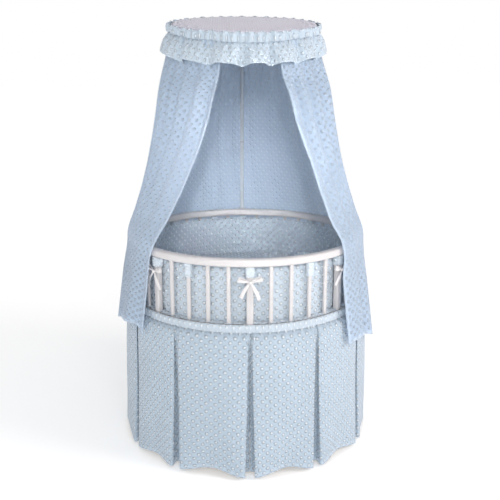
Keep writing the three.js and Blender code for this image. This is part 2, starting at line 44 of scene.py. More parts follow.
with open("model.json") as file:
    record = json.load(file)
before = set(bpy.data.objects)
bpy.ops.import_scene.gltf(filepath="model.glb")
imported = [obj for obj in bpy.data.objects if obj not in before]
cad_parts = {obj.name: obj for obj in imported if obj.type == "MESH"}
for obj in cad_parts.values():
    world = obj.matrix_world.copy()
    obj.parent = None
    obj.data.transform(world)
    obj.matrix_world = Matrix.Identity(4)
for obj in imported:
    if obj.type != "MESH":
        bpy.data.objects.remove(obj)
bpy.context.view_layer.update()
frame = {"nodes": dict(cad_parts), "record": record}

CLOTH_UV = "cloth"  # flat lengths in metres, for patterns that follow the cloth
HEM_MASK = "hem"  # 1 where a hem is turned, 0 elsewhere

RAIL_LOW, RAIL_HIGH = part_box("top_rail")
_, RING_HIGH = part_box("lower_ring")
_, BAND_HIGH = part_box("waist_band")
BUMPER_LOW, BUMPER_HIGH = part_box("bumper")
SKIRT_LOW, SKIRT_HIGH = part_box("skirt")
PAD_LOW, PAD_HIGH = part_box("mattress_pad")
SHEET_LOW, SHEET_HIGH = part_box("fitted_sheet")
HOOP_LOW, HOOP_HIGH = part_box("canopy_hoop")
_, SOCKET_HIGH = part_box("socket_upper")
DRAPE_LOW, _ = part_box("canopy_drape")
LOWER_POST_LOW, LOWER_POST_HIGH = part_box("canopy_post_lower")
UPPER_POST_LOW, UPPER_POST_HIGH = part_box("canopy_post_upper")
FRONT_POST_LOW, FRONT_POST_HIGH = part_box("post_front")

FRONT_BAY = 48.0  # degrees between the front post and the posts beside it
SIDE_BAY = (180.0 - FRONT_BAY) / 3
BAYS = [FRONT_BAY] + [SIDE_BAY] * 6 + [FRONT_BAY]
POSTS = [
    "front", "front_right", "right", "back_right", "back", "back_left", "left", "front_left",
]
POST_ANGLES = [math.radians(sum(BAYS[:i])) for i in range(len(BAYS))]
SLATS_PER_BAY = 4


# ---------------------------------------------------------------- sizes and colours
class BassinetSizes(bpy.types.PropertyGroup):
    """Sizes of the pieces that are made here."""

    post_width: FloatProperty(
        name="Post width", description="Width of each post seen from outside",
        default=0.019, min=0.01, unit="LENGTH",
    )
    post_thickness: FloatProperty(
        name="Post thickness", description="Radial thickness of each post",
        default=0.016, min=0.008, unit="LENGTH",
    )
    slat_width: FloatProperty(
        name="Slat width", description="Width of each slat seen from outside",
        default=0.011, min=0.006, unit="LENGTH",
    )
    slat_thickness: FloatProperty(
        name="Slat thickness", description="Radial thickness of each slat",
        default=0.008, min=0.004, unit="LENGTH",
    )
    rail_width: FloatProperty(
        name="Rail width", description="Radial width of the top rail",
        default=0.024, min=0.01, unit="LENGTH",
    )
    wire: FloatProperty(
        name="Hoop wire", description="Radius of the hoop's wire",
        default=0.004, min=0.001, unit="LENGTH",
    )
    hoop_tilt: FloatProperty(
        name="Hoop tilt", description="How far the hoop's front edge tips down",
        default=math.radians(9.4), subtype="ANGLE",
    )
    dot_pitch: FloatProperty(
        name="Dot pitch", description="Distance between neighbouring dots of the plush",
        default=0.0173, min=0.004, unit="LENGTH",
    )
    dot_height: FloatProperty(
        name="Dot height", description="How far the dots of the plush stand up",
        default=0.0055, min=0.0, unit="LENGTH",
    )
    cloth: FloatProperty(
        name="Cloth thickness", description="Thickness of the plush",
        default=0.0022, min=0.0005, unit="LENGTH",
    )
    pleats: IntProperty(
        name="Pleats", description="Inverted box pleats round the skirt", default=12, min=3,
    )
    ribbon: FloatProperty(
        name="Ribbon width", description="Width of the satin ribbon",
        default=0.0095, min=0.003, unit="LENGTH",
    )


class BassinetColours(bpy.types.PropertyGroup):
    """Colours of the finishes."""

    plush: FloatVectorProperty(
        name="Plush", description="Ground of the dotted plush",
        subtype="COLOR", size=3, min=0, max=1, default=(0.465, 0.56, 0.655),
    )
    # Painted highlight: the colour of the lit tops of the plush's dots, lighter than the ground
    plush_dot_highlight: FloatVectorProperty(
        name="Plush dots", description="Tops of the plush's dots",
        subtype="COLOR", size=3, min=0, max=1, default=(0.74, 0.80, 0.85),
    )
    paint: FloatVectorProperty(
        name="Paint", description="Paint of the rails, posts and slats",
        subtype="COLOR", size=3, min=0, max=1, default=(0.63, 0.61, 0.615),
    )
    ribbon: FloatVectorProperty(
        name="Ribbon", description="Satin ribbon of the bows",
        subtype="COLOR", size=3, min=0, max=1, default=(0.74, 0.72, 0.725),
    )
    tube: FloatVectorProperty(
        name="Canopy tube", description="Powder coat of the canopy's post and hoop",
        subtype="COLOR", size=3, min=0, max=1, default=(0.62, 0.66, 0.70),
    )
    floor: FloatVectorProperty(
        name="Floor", description="Studio floor",
        subtype="COLOR", size=3, min=0, max=1, default=(0.97, 0.97, 0.97),
    )


def sizes():
    return bpy.context.scene.bassinet_sizes


def colours():
    return bpy.context.scene.bassinet_colours


# ---------------------------------------------------------------- materials
def new_material(name):
    """An empty node material with its shader, and functions that add and link nodes."""
    material = bpy.data.materials.new(name)
    material.use_nodes = True
    tree = material.node_tree
    shader = tree.nodes["Principled BSDF"]

    def add(kind, inputs=None, **settings):
        made = tree.nodes.new("ShaderNode" + kind)
        for key, value in settings.items():
            setattr(made, key, value)
        for key, value in (inputs or {}).items():
            if isinstance(value, bpy.types.NodeSocket):
                tree.links.new(value, made.inputs[key])
            else:
                made.inputs[key].default_value = value
        return made

    def wire_up(output, socket):
        tree.links.new(output, shader.inputs[socket])

    return material, shader, add, wire_up


def ramp(add, factor, *stops):
    """A colour ramp through (place, colour) stops, fed by factor."""
    made = add("ValToRGB", {"Fac": factor})
    elements = made.color_ramp.elements
    while len(elements) < len(stops):
        elements.new(0.5)
    for element, (place, colour) in zip(elements, stops):
        element.position = place
        element.color = (*colour, 1)
    return made.outputs["Color"]


def grey(value):
    return (value, value, value)


def shaded(colour, share):
    """A colour made lighter or darker by a share."""
    return tuple(min(1.0, channel * share) for channel in colour)


def mixed(first, second, share):
    return tuple(a + (b - a) * share for a, b in zip(first, second))


def set_shader(shader, **values):
    for key, value in values.items():
        shader.inputs[key.replace("_", " ")].default_value = value


def plush(name, ground, dot_highlight, pitch, height, reach=0.40, sheen=0.3, glow=0.0):
    """Plush with raised dots on a square lattice turned by 45 degrees. The base colour is lighter on
    the dots' tops as a painted highlight and darker on the ground between them as painted shade.

    reach is a dot's radius in shares of the pitch; a negative height sinks the dots; glow is
    the share of light that passes through the cloth.
    """
    material, shader, add, wire_up = new_material(name)
    flat = add("UVMap", uv_map=CLOTH_UV).outputs["UV"]
    lattice = add(
        "Mapping",
        {"Vector": flat, "Rotation": (0, 0, math.radians(45)), "Scale": (1 / pitch, 1 / pitch, 0)},
    )
    cell = add("VectorMath", {0: lattice.outputs["Vector"]}, operation="FRACTION")
    middle = add(
        "VectorMath", {0: cell.outputs["Vector"], 1: (0.5, 0.5, 0)}, operation="SUBTRACT"
    )
    away = add("VectorMath", {0: middle.outputs["Vector"]}, operation="LENGTH").outputs["Value"]
    dome = add(
        "MapRange",
        {"Value": away, "From Min": reach, "From Max": 0.04, "To Min": 0.0, "To Max": 1.0},
        interpolation_type="SMOOTHERSTEP",
    ).outputs["Result"]
    mask = add("Attribute", attribute_name=HEM_MASK).outputs["Fac"]
    standing = add("Math", {0: 1.0, 1: mask}, operation="SUBTRACT").outputs["Value"]
    raised = add("Math", {0: dome, 1: standing}, operation="MULTIPLY").outputs["Value"]
    place = add("TexCoord").outputs["Object"]
    shade = add("TexNoise", {"Vector": place, "Scale": 9.0, "Detail": 3.0}).outputs["Fac"]
    fuzz = add(
        "TexNoise", {"Vector": place, "Scale": 620.0, "Detail": 3.0, "Roughness": 0.65}
    ).outputs["Fac"]
    hemmed = add("Math", {0: raised, 1: mask}, operation="MAXIMUM").outputs["Value"]
    pile = add("Math", {0: fuzz, 1: 0.22}, operation="MULTIPLY").outputs["Value"]
    patchy = add("MapRange", {"Value": shade, "To Min": -0.16, "To Max": 0.08}).outputs["Result"]
    tone = add("Math", {0: hemmed, 1: pile}, operation="ADD").outputs["Value"]
    tone = add("Math", {0: tone, 1: patchy}, operation="ADD", use_clamp=True).outputs["Value"]
    # Base colour: lighter towards the dots' tops and on turned hems (painted highlight), darker on the
    # low ground between dots (painted shade), also varied by random patches and the pile
    wire_up(
        ramp(add, tone, (0.0, shaded(ground, 0.86)), (0.28, ground), (1.0, dot_highlight)), "Base Color"
    )
    relief = add(
        "Bump", {"Strength": 1.0, "Distance": abs(height), "Height": raised}, invert=height < 0
    ).outputs["Normal"]
    nap = add(
        "Bump", {"Strength": 0.35, "Distance": 0.0007, "Height": fuzz, "Normal": relief}
    ).outputs["Normal"]
    wire_up(nap, "Normal")
    wire_up(ramp(add, fuzz, (0.2, grey(0.78)), (0.8, grey(0.98))), "Roughness")
    set_shader(
        shader, Sheen_Weight=sheen, Sheen_Roughness=0.5, Sheen_Tint=(1.0, 0.95, 0.97, 1.0),
        Specular_IOR_Level=0.15,
    )
    if glow:
        tree = material.node_tree
        passed = add("BsdfTranslucent", {"Color": (*mixed(ground, (1, 1, 1), 0.55), 1)})
        both = add(
            "MixShader",
            {"Fac": glow, 1: shader.outputs["BSDF"], 2: passed.outputs["BSDF"]},
        )
        tree.links.new(both.outputs["Shader"], tree.nodes["Material Output"].inputs["Surface"])
    return material


def painted_wood(name, colour, along):
    """Brushed semi-gloss paint over wood. along stretches the brush marks on each axis."""
    material, shader, add, wire_up = new_material(name)
    place = add("TexCoord").outputs["Object"]
    strokes = add("Mapping", {"Vector": place, "Scale": along}).outputs["Vector"]
    brush = add(
        "TexNoise", {"Vector": strokes, "Scale": 1.0, "Detail": 4.0, "Roughness": 0.55}
    ).outputs["Fac"]
    cloud = add("TexNoise", {"Vector": place, "Scale": 14.0, "Detail": 2.0}).outputs["Fac"]
    wire_up(
        ramp(add, cloud, (0.3, shaded(colour, 0.965)), (0.7, shaded(colour, 1.02))), "Base Color"
    )
    wire_up(ramp(add, brush, (0.3, grey(0.3)), (0.7, grey(0.46))), "Roughness")
    wire_up(
        add("Bump", {"Strength": 0.22, "Distance": 0.0005, "Height": brush}).outputs["Normal"],
        "Normal",
    )
    set_shader(shader, Coat_Weight=0.15, Coat_Roughness=0.25)
    return material


def satin(name, colour):
    """Satin ribbon: a fine rib across it and a soft shine."""
    material, shader, add, wire_up = new_material(name)
    flat = add("UVMap", uv_map=CLOTH_UV).outputs["UV"]
    rib = add(
        "TexWave", {"Vector": flat, "Scale": 420.0, "Distortion": 0.4, "Detail": 1.0},
        bands_direction="Y",
    ).outputs["Fac"]
    crease = add(
        "TexNoise", {"Vector": add("TexCoord").outputs["Object"], "Scale": 90.0, "Detail": 3.0}
    ).outputs["Fac"]
    # The colour follows the crease height: darker in the hollows of the creases as painted shade,
    # lighter on their ridges as painted highlight
    wire_up(
        ramp(add, crease, (0.25, shaded(colour, 0.93)), (0.7, shaded(colour, 1.03))),
        "Base Color",
    )
    wire_up(ramp(add, crease, (0.2, grey(0.3)), (0.8, grey(0.48))), "Roughness")
    rise = add("Math", {0: rib, 1: crease}, operation="ADD").outputs["Value"]
    wire_up(
        add("Bump", {"Strength": 0.3, "Distance": 0.0003, "Height": rise}).outputs["Normal"],
        "Normal",
    )
    set_shader(shader, Sheen_Weight=0.3, Sheen_Roughness=0.3, Anisotropic=0.4)
    return material


def powder_coat(name, colour):
    """Powder coat with its faint orange peel."""
    material, shader, add, wire_up = new_material(name)
    place = add("TexCoord").outputs["Object"]
    peel = add("TexNoise", {"Vector": place, "Scale": 420.0, "Detail": 2.0}).outputs["Fac"]
    cloud = add("TexNoise", {"Vector": place, "Scale": 11.0, "Detail": 2.0}).outputs["Fac"]
    wire_up(
        ramp(add, cloud, (0.3, shaded(colour, 0.95)), (0.7, shaded(colour, 1.04))), "Base Color"
    )
    wire_up(ramp(add, peel, (0.3, grey(0.3)), (0.7, grey(0.42))), "Roughness")
    wire_up(
        add("Bump", {"Strength": 0.2, "Distance": 0.0003, "Height": peel}).outputs["Normal"],
        "Normal",
    )
    set_shader(shader, Coat_Weight=0.2, Coat_Roughness=0.2)
    return material


def plywood(name):
    """Pale plywood: long grain on the faces, layered edges."""
    material, shader, add, wire_up = new_material(name)
    place = add("TexCoord").outputs["Object"]
    long = add("Mapping", {"Vector": place, "Scale": (4.0, 46.0, 12.0)}).outputs["Vector"]
    grain = add(
        "TexNoise",
        {"Vector": long, "Scale": 1.6, "Detail": 6.0, "Roughness": 0.62, "Distortion": 0.5},
    ).outputs["Fac"]
    plies = add(
        "TexWave", {"Vector": place, "Scale": 78.0, "Distortion": 0.3}, bands_direction="Z"
    ).outputs["Fac"]
    edge = add("Math", {0: plies, 1: 0.22}, operation="MULTIPLY").outputs["Value"]
    tone = add("Math", {0: grain, 1: edge}, operation="ADD").outputs["Value"]
    wire_up(
        ramp(add, tone, (0.35, (0.42, 0.28, 0.15)), (0.6, (0.62, 0.47, 0.29)),
             (0.85, (0.74, 0.60, 0.41))),
        "Base Color",
    )
    wire_up(ramp(add, grain, (0.3, grey(0.52)), (0.7, grey(0.72))), "Roughness")
    wire_up(
        add("Bump", {"Strength": 0.25, "Distance": 0.0005, "Height": grain}).outputs["Normal"],
        "Normal",
    )
    set_shader(shader, Specular_IOR_Level=0.35)
    return material


def zinc(name):
    """Zinc-plated steel, a little streaked."""
    material, shader, add, wire_up = new_material(name)
    place = add("TexCoord").outputs["Object"]
    drawn = add("Mapping", {"Vector": place, "Scale": (60.0, 60.0, 420.0)}).outputs["Vector"]
    streak = add("TexNoise", {"Vector": drawn, "Scale": 3.0, "Detail": 4.0}).outputs["Fac"]
    wire_up(
        ramp(add, streak, (0.3, (0.48, 0.49, 0.50)), (0.7, (0.68, 0.69, 0.70))), "Base Color"
    )
    wire_up(ramp(add, streak, (0.3, grey(0.24)), (0.7, grey(0.42))), "Roughness")
    wire_up(
        add("Bump", {"Strength": 0.15, "Distance": 0.0002, "Height": streak}).outputs["Normal"],
        "Normal",
    )
    set_shader(shader, Metallic=1.0)
    return material


def moulded(name, colour, rough, grain_size):
    """Moulded nylon or rubber with a fine surface grain."""
    material, shader, add, wire_up = new_material(name)
    place = add("TexCoord").outputs["Object"]
    grain = add("TexNoise", {"Vector": place, "Scale": grain_size, "Detail": 3.0}).outputs["Fac"]
    cloud = add("TexNoise", {"Vector": place, "Scale": 30.0, "Detail": 2.0}).outputs["Fac"]
    wire_up(
        ramp(add, cloud, (0.3, shaded(colour, 0.88)), (0.7, shaded(colour, 1.05))), "Base Color"
    )
    wire_up(
        ramp(add, grain, (0.3, grey(rough - 0.07)), (0.7, grey(rough + 0.08))), "Roughness"
    )
    wire_up(
        add("Bump", {"Strength": 0.3, "Distance": 0.0004, "Height": grain}).outputs["Normal"],
        "Normal",
    )
    set_shader(shader, Specular_IOR_Level=0.4)
    return material


def ticking(name):
    """White woven ticking over foam."""
    material, shader, add, wire_up = new_material(name)
    place = add("TexCoord").outputs["Object"]
    warp = add("TexWave", {"Vector": place, "Scale": 260.0, "Distortion": 0.5}).outputs["Fac"]
    weft = add(
        "TexWave", {"Vector": place, "Scale": 260.0, "Distortion": 0.5}, bands_direction="Y"
    ).outputs["Fac"]
    weave = add("Math", {0: warp, 1: weft}, operation="MULTIPLY").outputs["Value"]
    wire_up(
        ramp(add, weave, (0.1, (0.74, 0.73, 0.68)), (0.8, (0.88, 0.87, 0.83))), "Base Color"
    )
    wire_up(ramp(add, weave, (0.1, grey(0.95)), (0.8, grey(0.8))), "Roughness")
    wire_up(
        add("Bump", {"Strength": 0.4, "Distance": 0.0005, "Height": weave}).outputs["Normal"],
        "Normal",
    )
    set_shader(shader, Sheen_Weight=0.15)
    return material


def finish_named(name):
    """The finish of that name, made the first time it is asked for."""
    if name in bpy.data.materials:
        return bpy.data.materials[name]
    size, colour = sizes(), colours()
    ground, dot_highlight = tuple(colour.plush), tuple(colour.plush_dot_highlight)
    makers = {
        "dotted_plush": lambda: plush(name, ground, dot_highlight, size.dot_pitch, size.dot_height),
        "light_plush": lambda: plush(
            name, mixed(ground, dot_highlight, 0.42), mixed(dot_highlight, (1, 1, 1), 0.25),
            size.dot_pitch, size.dot_height * 0.8,
        ),
        # Lighter copy of the plush for the bumper: painted light that brightens the shaded inside of
        # the basket
        "lit_bumper_plush": lambda: plush(
            name, mixed(ground, dot_highlight, 0.30), mixed(dot_highlight, (1, 1, 1), 0.2), size.dot_pitch,
            size.dot_height,
        ),
        "band_plush": lambda: plush(
            name, mixed(ground, dot_highlight, 0.35), dot_highlight, size.dot_pitch * 0.72, size.dot_height * 0.5
        ),
        # Lighter copy of the plush for the drape: painted light that brightens the shaded inside of
        # the canopy, beside the real light that passes through the cloth
        "lit_drape_plush": lambda: plush(
            name, (0.60, 0.73, 0.88), (0.76, 0.84, 0.93), size.dot_pitch,
            size.dot_height, 0.36, 0.45, 0.40,
        ),
        "ruffle_plush": lambda: plush(
            name, mixed(ground, dot_highlight, 0.22), mixed(ground, dot_highlight, 0.75), size.dot_pitch,
            size.dot_height * 0.8, 0.36,
        ),
        "cover_plush": lambda: plush(
            name, (0.70, 0.69, 0.80), (0.82, 0.81, 0.89), size.dot_pitch * 0.6,
            size.dot_height * 0.6,
        ),
        "painted_rail": lambda: painted_wood(name, tuple(colour.paint), (30, 30, 160)),
        "painted_upright": lambda: painted_wood(name, tuple(colour.paint), (170, 170, 9)),
        "satin_ribbon": lambda: satin(name, tuple(colour.ribbon)),
        "coated_tube": lambda: powder_coat(name, tuple(colour.tube)),
        "pale_plywood": lambda: plywood(name),
        "zinc_steel": lambda: zinc(name),
        "white_nylon": lambda: moulded(name, (0.74, 0.75, 0.77), 0.5, 500.0),
        "grey_rubber": lambda: moulded(name, (0.16, 0.17, 0.19), 0.78, 700.0),
        "foam_ticking": lambda: ticking(name),
    }
    return makers[name]()


# ---------------------------------------------------------------- modelling helpers
def deselect():
    if bpy.context.object and bpy.context.object.mode != "OBJECT":
        bpy.ops.object.mode_set(mode="OBJECT")
    bpy.ops.object.select_all(action="DESELECT")


def only(piece):
    """Selects one object and makes it active."""
    deselect()
    piece.select_set(True)
    bpy.context.view_layer.objects.active = piece
    return piece


def edit(piece, select="SELECT", by="FACE"):
    """Edit mode on a piece, with all or none of its mesh selected."""
    only(piece)
    bpy.ops.object.mode_set(mode="EDIT")
    bpy.ops.mesh.select_mode(type=by)
    bpy.ops.mesh.select_all(action=select)


def object_mode():
    bpy.ops.object.mode_set(mode="OBJECT")


def apply_modifier(piece, kind, **settings):
    only(piece)
    modifier = piece.modifiers.new(kind.title(), kind)
    for key, value in settings.items():
        setattr(modifier, key, value)
    bpy.ops.object.modifier_apply(modifier=modifier.name)


def settle(piece):
    """Puts a piece's place, turn and scale into its mesh."""
    only(piece)
    bpy.ops.object.transform_apply(location=True, rotation=True, scale=True)


def join(pieces, name):
    deselect()
    for piece in pieces:
        piece.select_set(True)
    bpy.context.view_layer.objects.active = pieces[0]
    if len(pieces) > 1:
        bpy.ops.object.join()
    made = bpy.context.object
    made.name = made.data.name = name
    return made


def copied(piece, name, matrix):
    """A copy with a mesh of its own, moved in its mesh."""
    twin = piece.copy()
    twin.data = piece.data.copy()
    twin.name = twin.data.name = name
    bpy.context.scene.collection.objects.link(twin)
    twin.data.transform(matrix)
    return twin


def finished(piece, name, body, finish, replaced=(), smooth=None):
    """Names a piece, gives it its finish and hands it to its body."""
    piece.name = piece.data.name = name
    only(piece)
    if smooth is None:
        bpy.ops.object.shade_smooth()
    else:
        bpy.ops.object.shade_smooth_by_angle(angle=math.radians(smooth))
    piece.data.materials.clear()
    piece.data.materials.append(finish_named(finish))
    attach(piece, body)
    if replaced:
        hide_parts(*replaced)
    return piece


def points_of(piece):
    co = np.empty(len(piece.data.vertices) * 3)
    piece.data.vertices.foreach_get("co", co)
    return co.reshape(-1, 3)


def set_points(piece, points):
    piece.data.vertices.foreach_set("co", np.asarray(points, np.float32).ravel())
    piece.data.update()


def set_mask(piece, values):
    mask = piece.data.attributes.new(HEM_MASK, "FLOAT", "POINT")
    mask.data.foreach_set("value", np.asarray(values, np.float32))


def laid_grid(across, down, rule, hem=None):
    """A flat grid laid into shape. rule maps shares across and down to points and flat metres."""
    deselect()
    bpy.ops.mesh.primitive_grid_add(x_subdivisions=across, y_subdivisions=down, size=1)
    piece = bpy.context.object
    flat = points_of(piece)
    s, t = flat[:, 0] + 0.5, 0.5 - flat[:, 1]
    points, lengths = rule(s, t)
    set_points(piece, points)
    corners = np.empty(len(piece.data.loops), np.int64)
    piece.data.loops.foreach_get("vertex_index", corners)
    layer = piece.data.uv_layers.active
    layer.name = CLOTH_UV
    layer.uv.foreach_set("vector", np.asarray(lengths, np.float32)[corners].ravel())
    if hem is not None:
        set_mask(piece, hem(s, t))
    return piece


def weld(piece, distance=1e-5):
    edit(piece)
    bpy.ops.mesh.remove_doubles(threshold=distance)
    object_mode()


def face_away(piece, centre):
    """Turns the faces so that most of them look away from a point."""
    faces = piece.data.polygons
    looks, middles = np.empty(len(faces) * 3), np.empty(len(faces) * 3)
    faces.foreach_get("normal", looks)
    faces.foreach_get("center", middles)
    away = middles.reshape(-1, 3) - np.array(centre)
    if (looks.reshape(-1, 3) * away).sum() < 0:
        edit(piece)
        bpy.ops.mesh.flip_normals()
        object_mode()


def thicken(piece, thickness, outward=-1.0):
    """Gives a sheet its thickness; outward -1 grows inwards, 0 both ways."""
    apply_modifier(
        piece, "SOLIDIFY", thickness=thickness, offset=outward, use_even_offset=False,
        use_rim=True,
    )


def smooth_through(places, values, at):
    """A smooth curve through (place, value) pairs that doesn't overshoot them."""
    places, values = np.asarray(places, float), np.asarray(values, float)
    steps = np.diff(places)
    slopes = np.diff(values) / steps
    tangents = np.zeros_like(values)
    tangents[0], tangents[-1] = slopes[0], slopes[-1]
    same = slopes[:-1] * slopes[1:] > 0
    tangents[1:-1][same] = 2 / (1 / slopes[:-1][same] + 1 / slopes[1:][same])
    i = np.clip(np.searchsorted(places, at) - 1, 0, len(steps) - 1)
    x = np.clip((at - places[i]) / steps[i], 0, 1)
    return (
        values[i] * (1 + 2 * x) * (1 - x) ** 2
        + values[i + 1] * x * x * (3 - 2 * x)
        + tangents[i] * steps[i] * x * (1 - x) ** 2
        + tangents[i + 1] * steps[i] * x * x * (x - 1)
    )


def around(radius, angle, z):
    """Points about the upright axis; the angle starts at the front and grows towards +X."""
    return np.stack(np.broadcast_arrays(radius * np.sin(angle), -radius * np.cos(angle), z), -1)


def drift(x, seed, waves=4):
    """A smooth, slightly irregular curve of period 1, about -1 to 1, the same each time."""
    dice = np.random.default_rng(seed)
    total = np.zeros_like(x)
    for k in range(1, waves + 1):
        total = total + dice.uniform(0.5, 1) / k**0.5 * np.sin(
            2 * np.pi * (k * x + dice.uniform())
        )
    return total / sum(0.75 / k**0.5 for k in range(1, waves + 1))


def eased_bar(width, depth, bottom, top, ease):
    """An upright bar at the front of the basket's circle, with its long edges rounded."""
    deselect()
    bpy.ops.mesh.primitive_cube_add(size=1, location=(0, 0, (bottom + top) / 2))
    bar = bpy.context.object
    bar.scale = (width, depth, top - bottom)
    settle(bar)
    edit(bar, by="EDGE")
    bpy.ops.mesh.bevel(offset=ease, segments=3, affect="EDGES")
    object_mode()
    return bar


def swept_ring(radius, width, height, middle_z, ease, steps, angle=2 * math.pi):
    """A rectangle with rounded corners, spun about the upright axis from the front."""
    deselect()
    bpy.ops.mesh.primitive_plane_add(size=1)
    ring = bpy.context.object
    ring.rotation_euler = (math.pi / 2, 0, math.pi / 2)
    ring.scale = (width, height, 1)
    ring.location = (0, -radius, middle_z)
    settle(ring)
    edit(ring, by="VERT")
    if ease:
        bpy.ops.mesh.bevel(offset=ease, segments=5, affect="VERTICES")
    if abs(angle - 2 * math.pi) < 1e-6:
        bpy.ops.mesh.delete(type="ONLY_FACE")
        bpy.ops.mesh.select_all(action="SELECT")
    bpy.ops.mesh.spin(
        steps=steps, angle=angle, center=(0, 0, 0), axis=(0, 0, 1), dupli=False,
    )
    bpy.ops.mesh.select_all(action="SELECT")
    bpy.ops.mesh.remove_doubles(threshold=1e-6)
    bpy.ops.mesh.normals_make_consistent(inside=False)
    object_mode()
    return ring


# ---------------------------------------------------------------- basket
class BASSINET_OT_rail(bpy.types.Operator):
    """Top rail: a painted ring with softly rounded edges"""

    bl_idname = "bassinet.rail"
    bl_label = "Top rail"

    def execute(self, context):
        width = sizes().rail_width
        height = RAIL_HIGH.z - RAIL_LOW.z
        ring = swept_ring(
            RAIL_HIGH.x - width / 2, width, height, (RAIL_HIGH.z + RAIL_LOW.z) / 2, 0.0065, 192
        )
        finished(ring, "painted_top_rail", "stand", "painted_rail", ["top_rail"], 50)
        return {"FINISHED"}


class BASSINET_OT_uprights(bpy.types.Operator):
    """Posts, and slats in panels of four with the strips that hold them in the grooves"""

    bl_idname = "bassinet.uprights"
    bl_label = "Posts and slats"

    def execute(self, context):
        size = sizes()
        circle = (FRONT_POST_HIGH.y + FRONT_POST_LOW.y) / 2
        bottom, top = FRONT_POST_LOW.z, FRONT_POST_HIGH.z
        post = eased_bar(size.post_width, size.post_thickness, bottom, top, 0.003)
        slat = eased_bar(size.slat_width, size.slat_thickness, bottom, top, 0.0022)
        for bar in (post, slat):
            bar.data.transform(Matrix.Translation((0, circle, 0)))
        for name, angle in zip(POSTS, POST_ANGLES):
            twin = copied(post, f"painted_post_{name}", Matrix.Rotation(angle, 4, "Z"))
            finished(
                twin, twin.name, "stand", "painted_upright", [f"post_{name}"], 50
            )
        strip_height = 0.005
        half_post = (size.post_width / 2 + 0.001) / -circle
        for i, (start, bay) in enumerate(zip(POST_ANGLES, BAYS)):
            sweep = math.radians(bay) - 2 * half_post
            parts = [
                copied(
                    slat, "slat",
                    Matrix.Rotation(start + math.radians(bay) * k / (SLATS_PER_BAY + 1), 4, "Z"),
                )
                for k in range(1, SLATS_PER_BAY + 1)
            ]
            for level in (bottom + strip_height / 2, top - strip_height / 2):
                strip = swept_ring(
                    -circle, size.slat_thickness, strip_height, level, 0, 12, sweep
                )
                strip.data.transform(Matrix.Rotation(start + half_post, 4, "Z"))
                parts.append(strip)
            panel = join(parts, f"painted_slats_{i + 1}")
            finished(
                panel, panel.name, "stand", "painted_upright",
                [f"slat_panel_{i + 1}"], 50,
            )
        for pattern in (post, slat):
            bpy.data.objects.remove(pattern)
        return {"FINISHED"}


class BASSINET_OT_cad_finishes(bpy.types.Operator):
    """Finishes of the pieces that keep their own shape: rings, boards, legs, sockets, casters"""

    bl_idname = "bassinet.cad_finishes"
    bl_label = "Finishes of the frame"

    def execute(self, context):
        finishes = {
            "white_paint": "painted_upright",
            "board": "pale_plywood",
            "steel": "zinc_steel",
            "nylon": "white_nylon",
            "tread": "grey_rubber",
            "painted_tube": "coated_tube",
            "foam": "foam_ticking",
            "dotted_fabric": "dotted_plush",
            "plain_fabric": "light_plush",
        }
        for row in frame["record"]["subparts"]:
            node = frame["nodes"][row["node"]]
            node.data.materials.clear()
            node.data.materials.append(finish_named(finishes[row["material_slot"]]))
        for name in (
            "lower_ring", "mattress_board", "socket_upper", "socket_lower", "hoop_clamp",
        ):
            frame["nodes"][name].data.materials[0] = finish_named("painted_rail")
        return {"FINISHED"}


# ---------------------------------------------------------------- bedding
def crowned_disc(radius, bottom, top, corner, crown, steps=96):
    """A round pad: flat beneath, rounded at its edge, a little crowned on top."""

    def rule(s, t):
        arc = corner * np.pi / 2
        legs = [radius - corner, arc, top - bottom - 2 * corner, arc, radius - corner]
        stops = np.concatenate([[0], np.cumsum(legs)])
        run = t * stops[-1]
        r = np.interp(run, stops, [0, radius - corner, radius, radius, radius - corner, 0])
        z = np.interp(run, stops, [top, top, top - corner, bottom + corner, bottom, bottom])
        for start, middle, sign in ((stops[1], top - corner, 1), (stops[3], bottom + corner, -1)):
            on = (run >= start) & (run <= start + arc)
            turn = (run[on] - start) / corner
            turn = turn if sign > 0 else np.pi / 2 - turn
            r[on] = radius - corner + corner * np.sin(turn)
            z[on] = middle + sign * corner * np.cos(turn)
        upper = z > (top + bottom) / 2
        z = z + crown * np.where(upper, np.clip(1 - (r / radius) ** 2, 0, 1), 0)
        angle = 2 * np.pi * s
        flat = np.stack([r * np.sin(angle), -r * np.cos(angle) - (z < top - corner) * 0.02], -1)
        return around(r, angle, z), flat

    disc = laid_grid(steps, 84, rule)
    weld(disc)
    face_away(disc, (0, 0, (top + bottom) / 2))
    return disc


class BASSINET_OT_mattress(bpy.types.Operator):
    """Round foam pad and the fitted plush sheet stretched over it"""

    bl_idname = "bassinet.mattress"
    bl_label = "Mattress and fitted sheet"

    def execute(self, context):
        pad = crowned_disc(PAD_HIGH.x, PAD_LOW.z, PAD_HIGH.z, 0.006, 0.0)
        finished(pad, "foam_mattress", "mattress", "foam_ticking", ["mattress_pad"])
        self.lay_sheet()
        return {"FINISHED"}

    def lay_sheet(self):
        radius, top, foot = SHEET_HIGH.x, SHEET_HIGH.z, SHEET_LOW.z
        corner = 0.007
        arc = corner * np.pi / 2
        reach = radius - corner + arc + (top - corner - foot)

        def rule(s, t):
            run = t * reach
            angle = 2 * np.pi * s
            turn = np.clip((run - (radius - corner)) / corner, 0, np.pi / 2)
            r = np.where(run < radius - corner, run, radius - corner + corner * np.sin(turn))
            z = top - corner + corner * np.cos(turn)
            z = z - np.clip(run - (radius - corner) - arc, 0, None)
            near_edge = np.clip((run / radius - 0.72) / 0.28, 0, 1) ** 2
            pucker = 0.0006 * near_edge * np.sin(44 * angle + 2 * drift(s, 4))
            z = z + pucker + 0.0012 * np.clip(1 - (run / radius) ** 2, 0, 1)
            flat = np.stack([run * np.sin(angle), -run * np.cos(angle)], -1)
            return around(r + pucker, angle, z), flat

        cover = laid_grid(176, 60, rule)
        weld(cover)
        face_away(cover, (0, 0, foot))
        thicken(cover, 0.0011)
        finished(
            cover, "fitted_plush_sheet", "mattress", "light_plush",
            ["fitted_sheet"],
        )


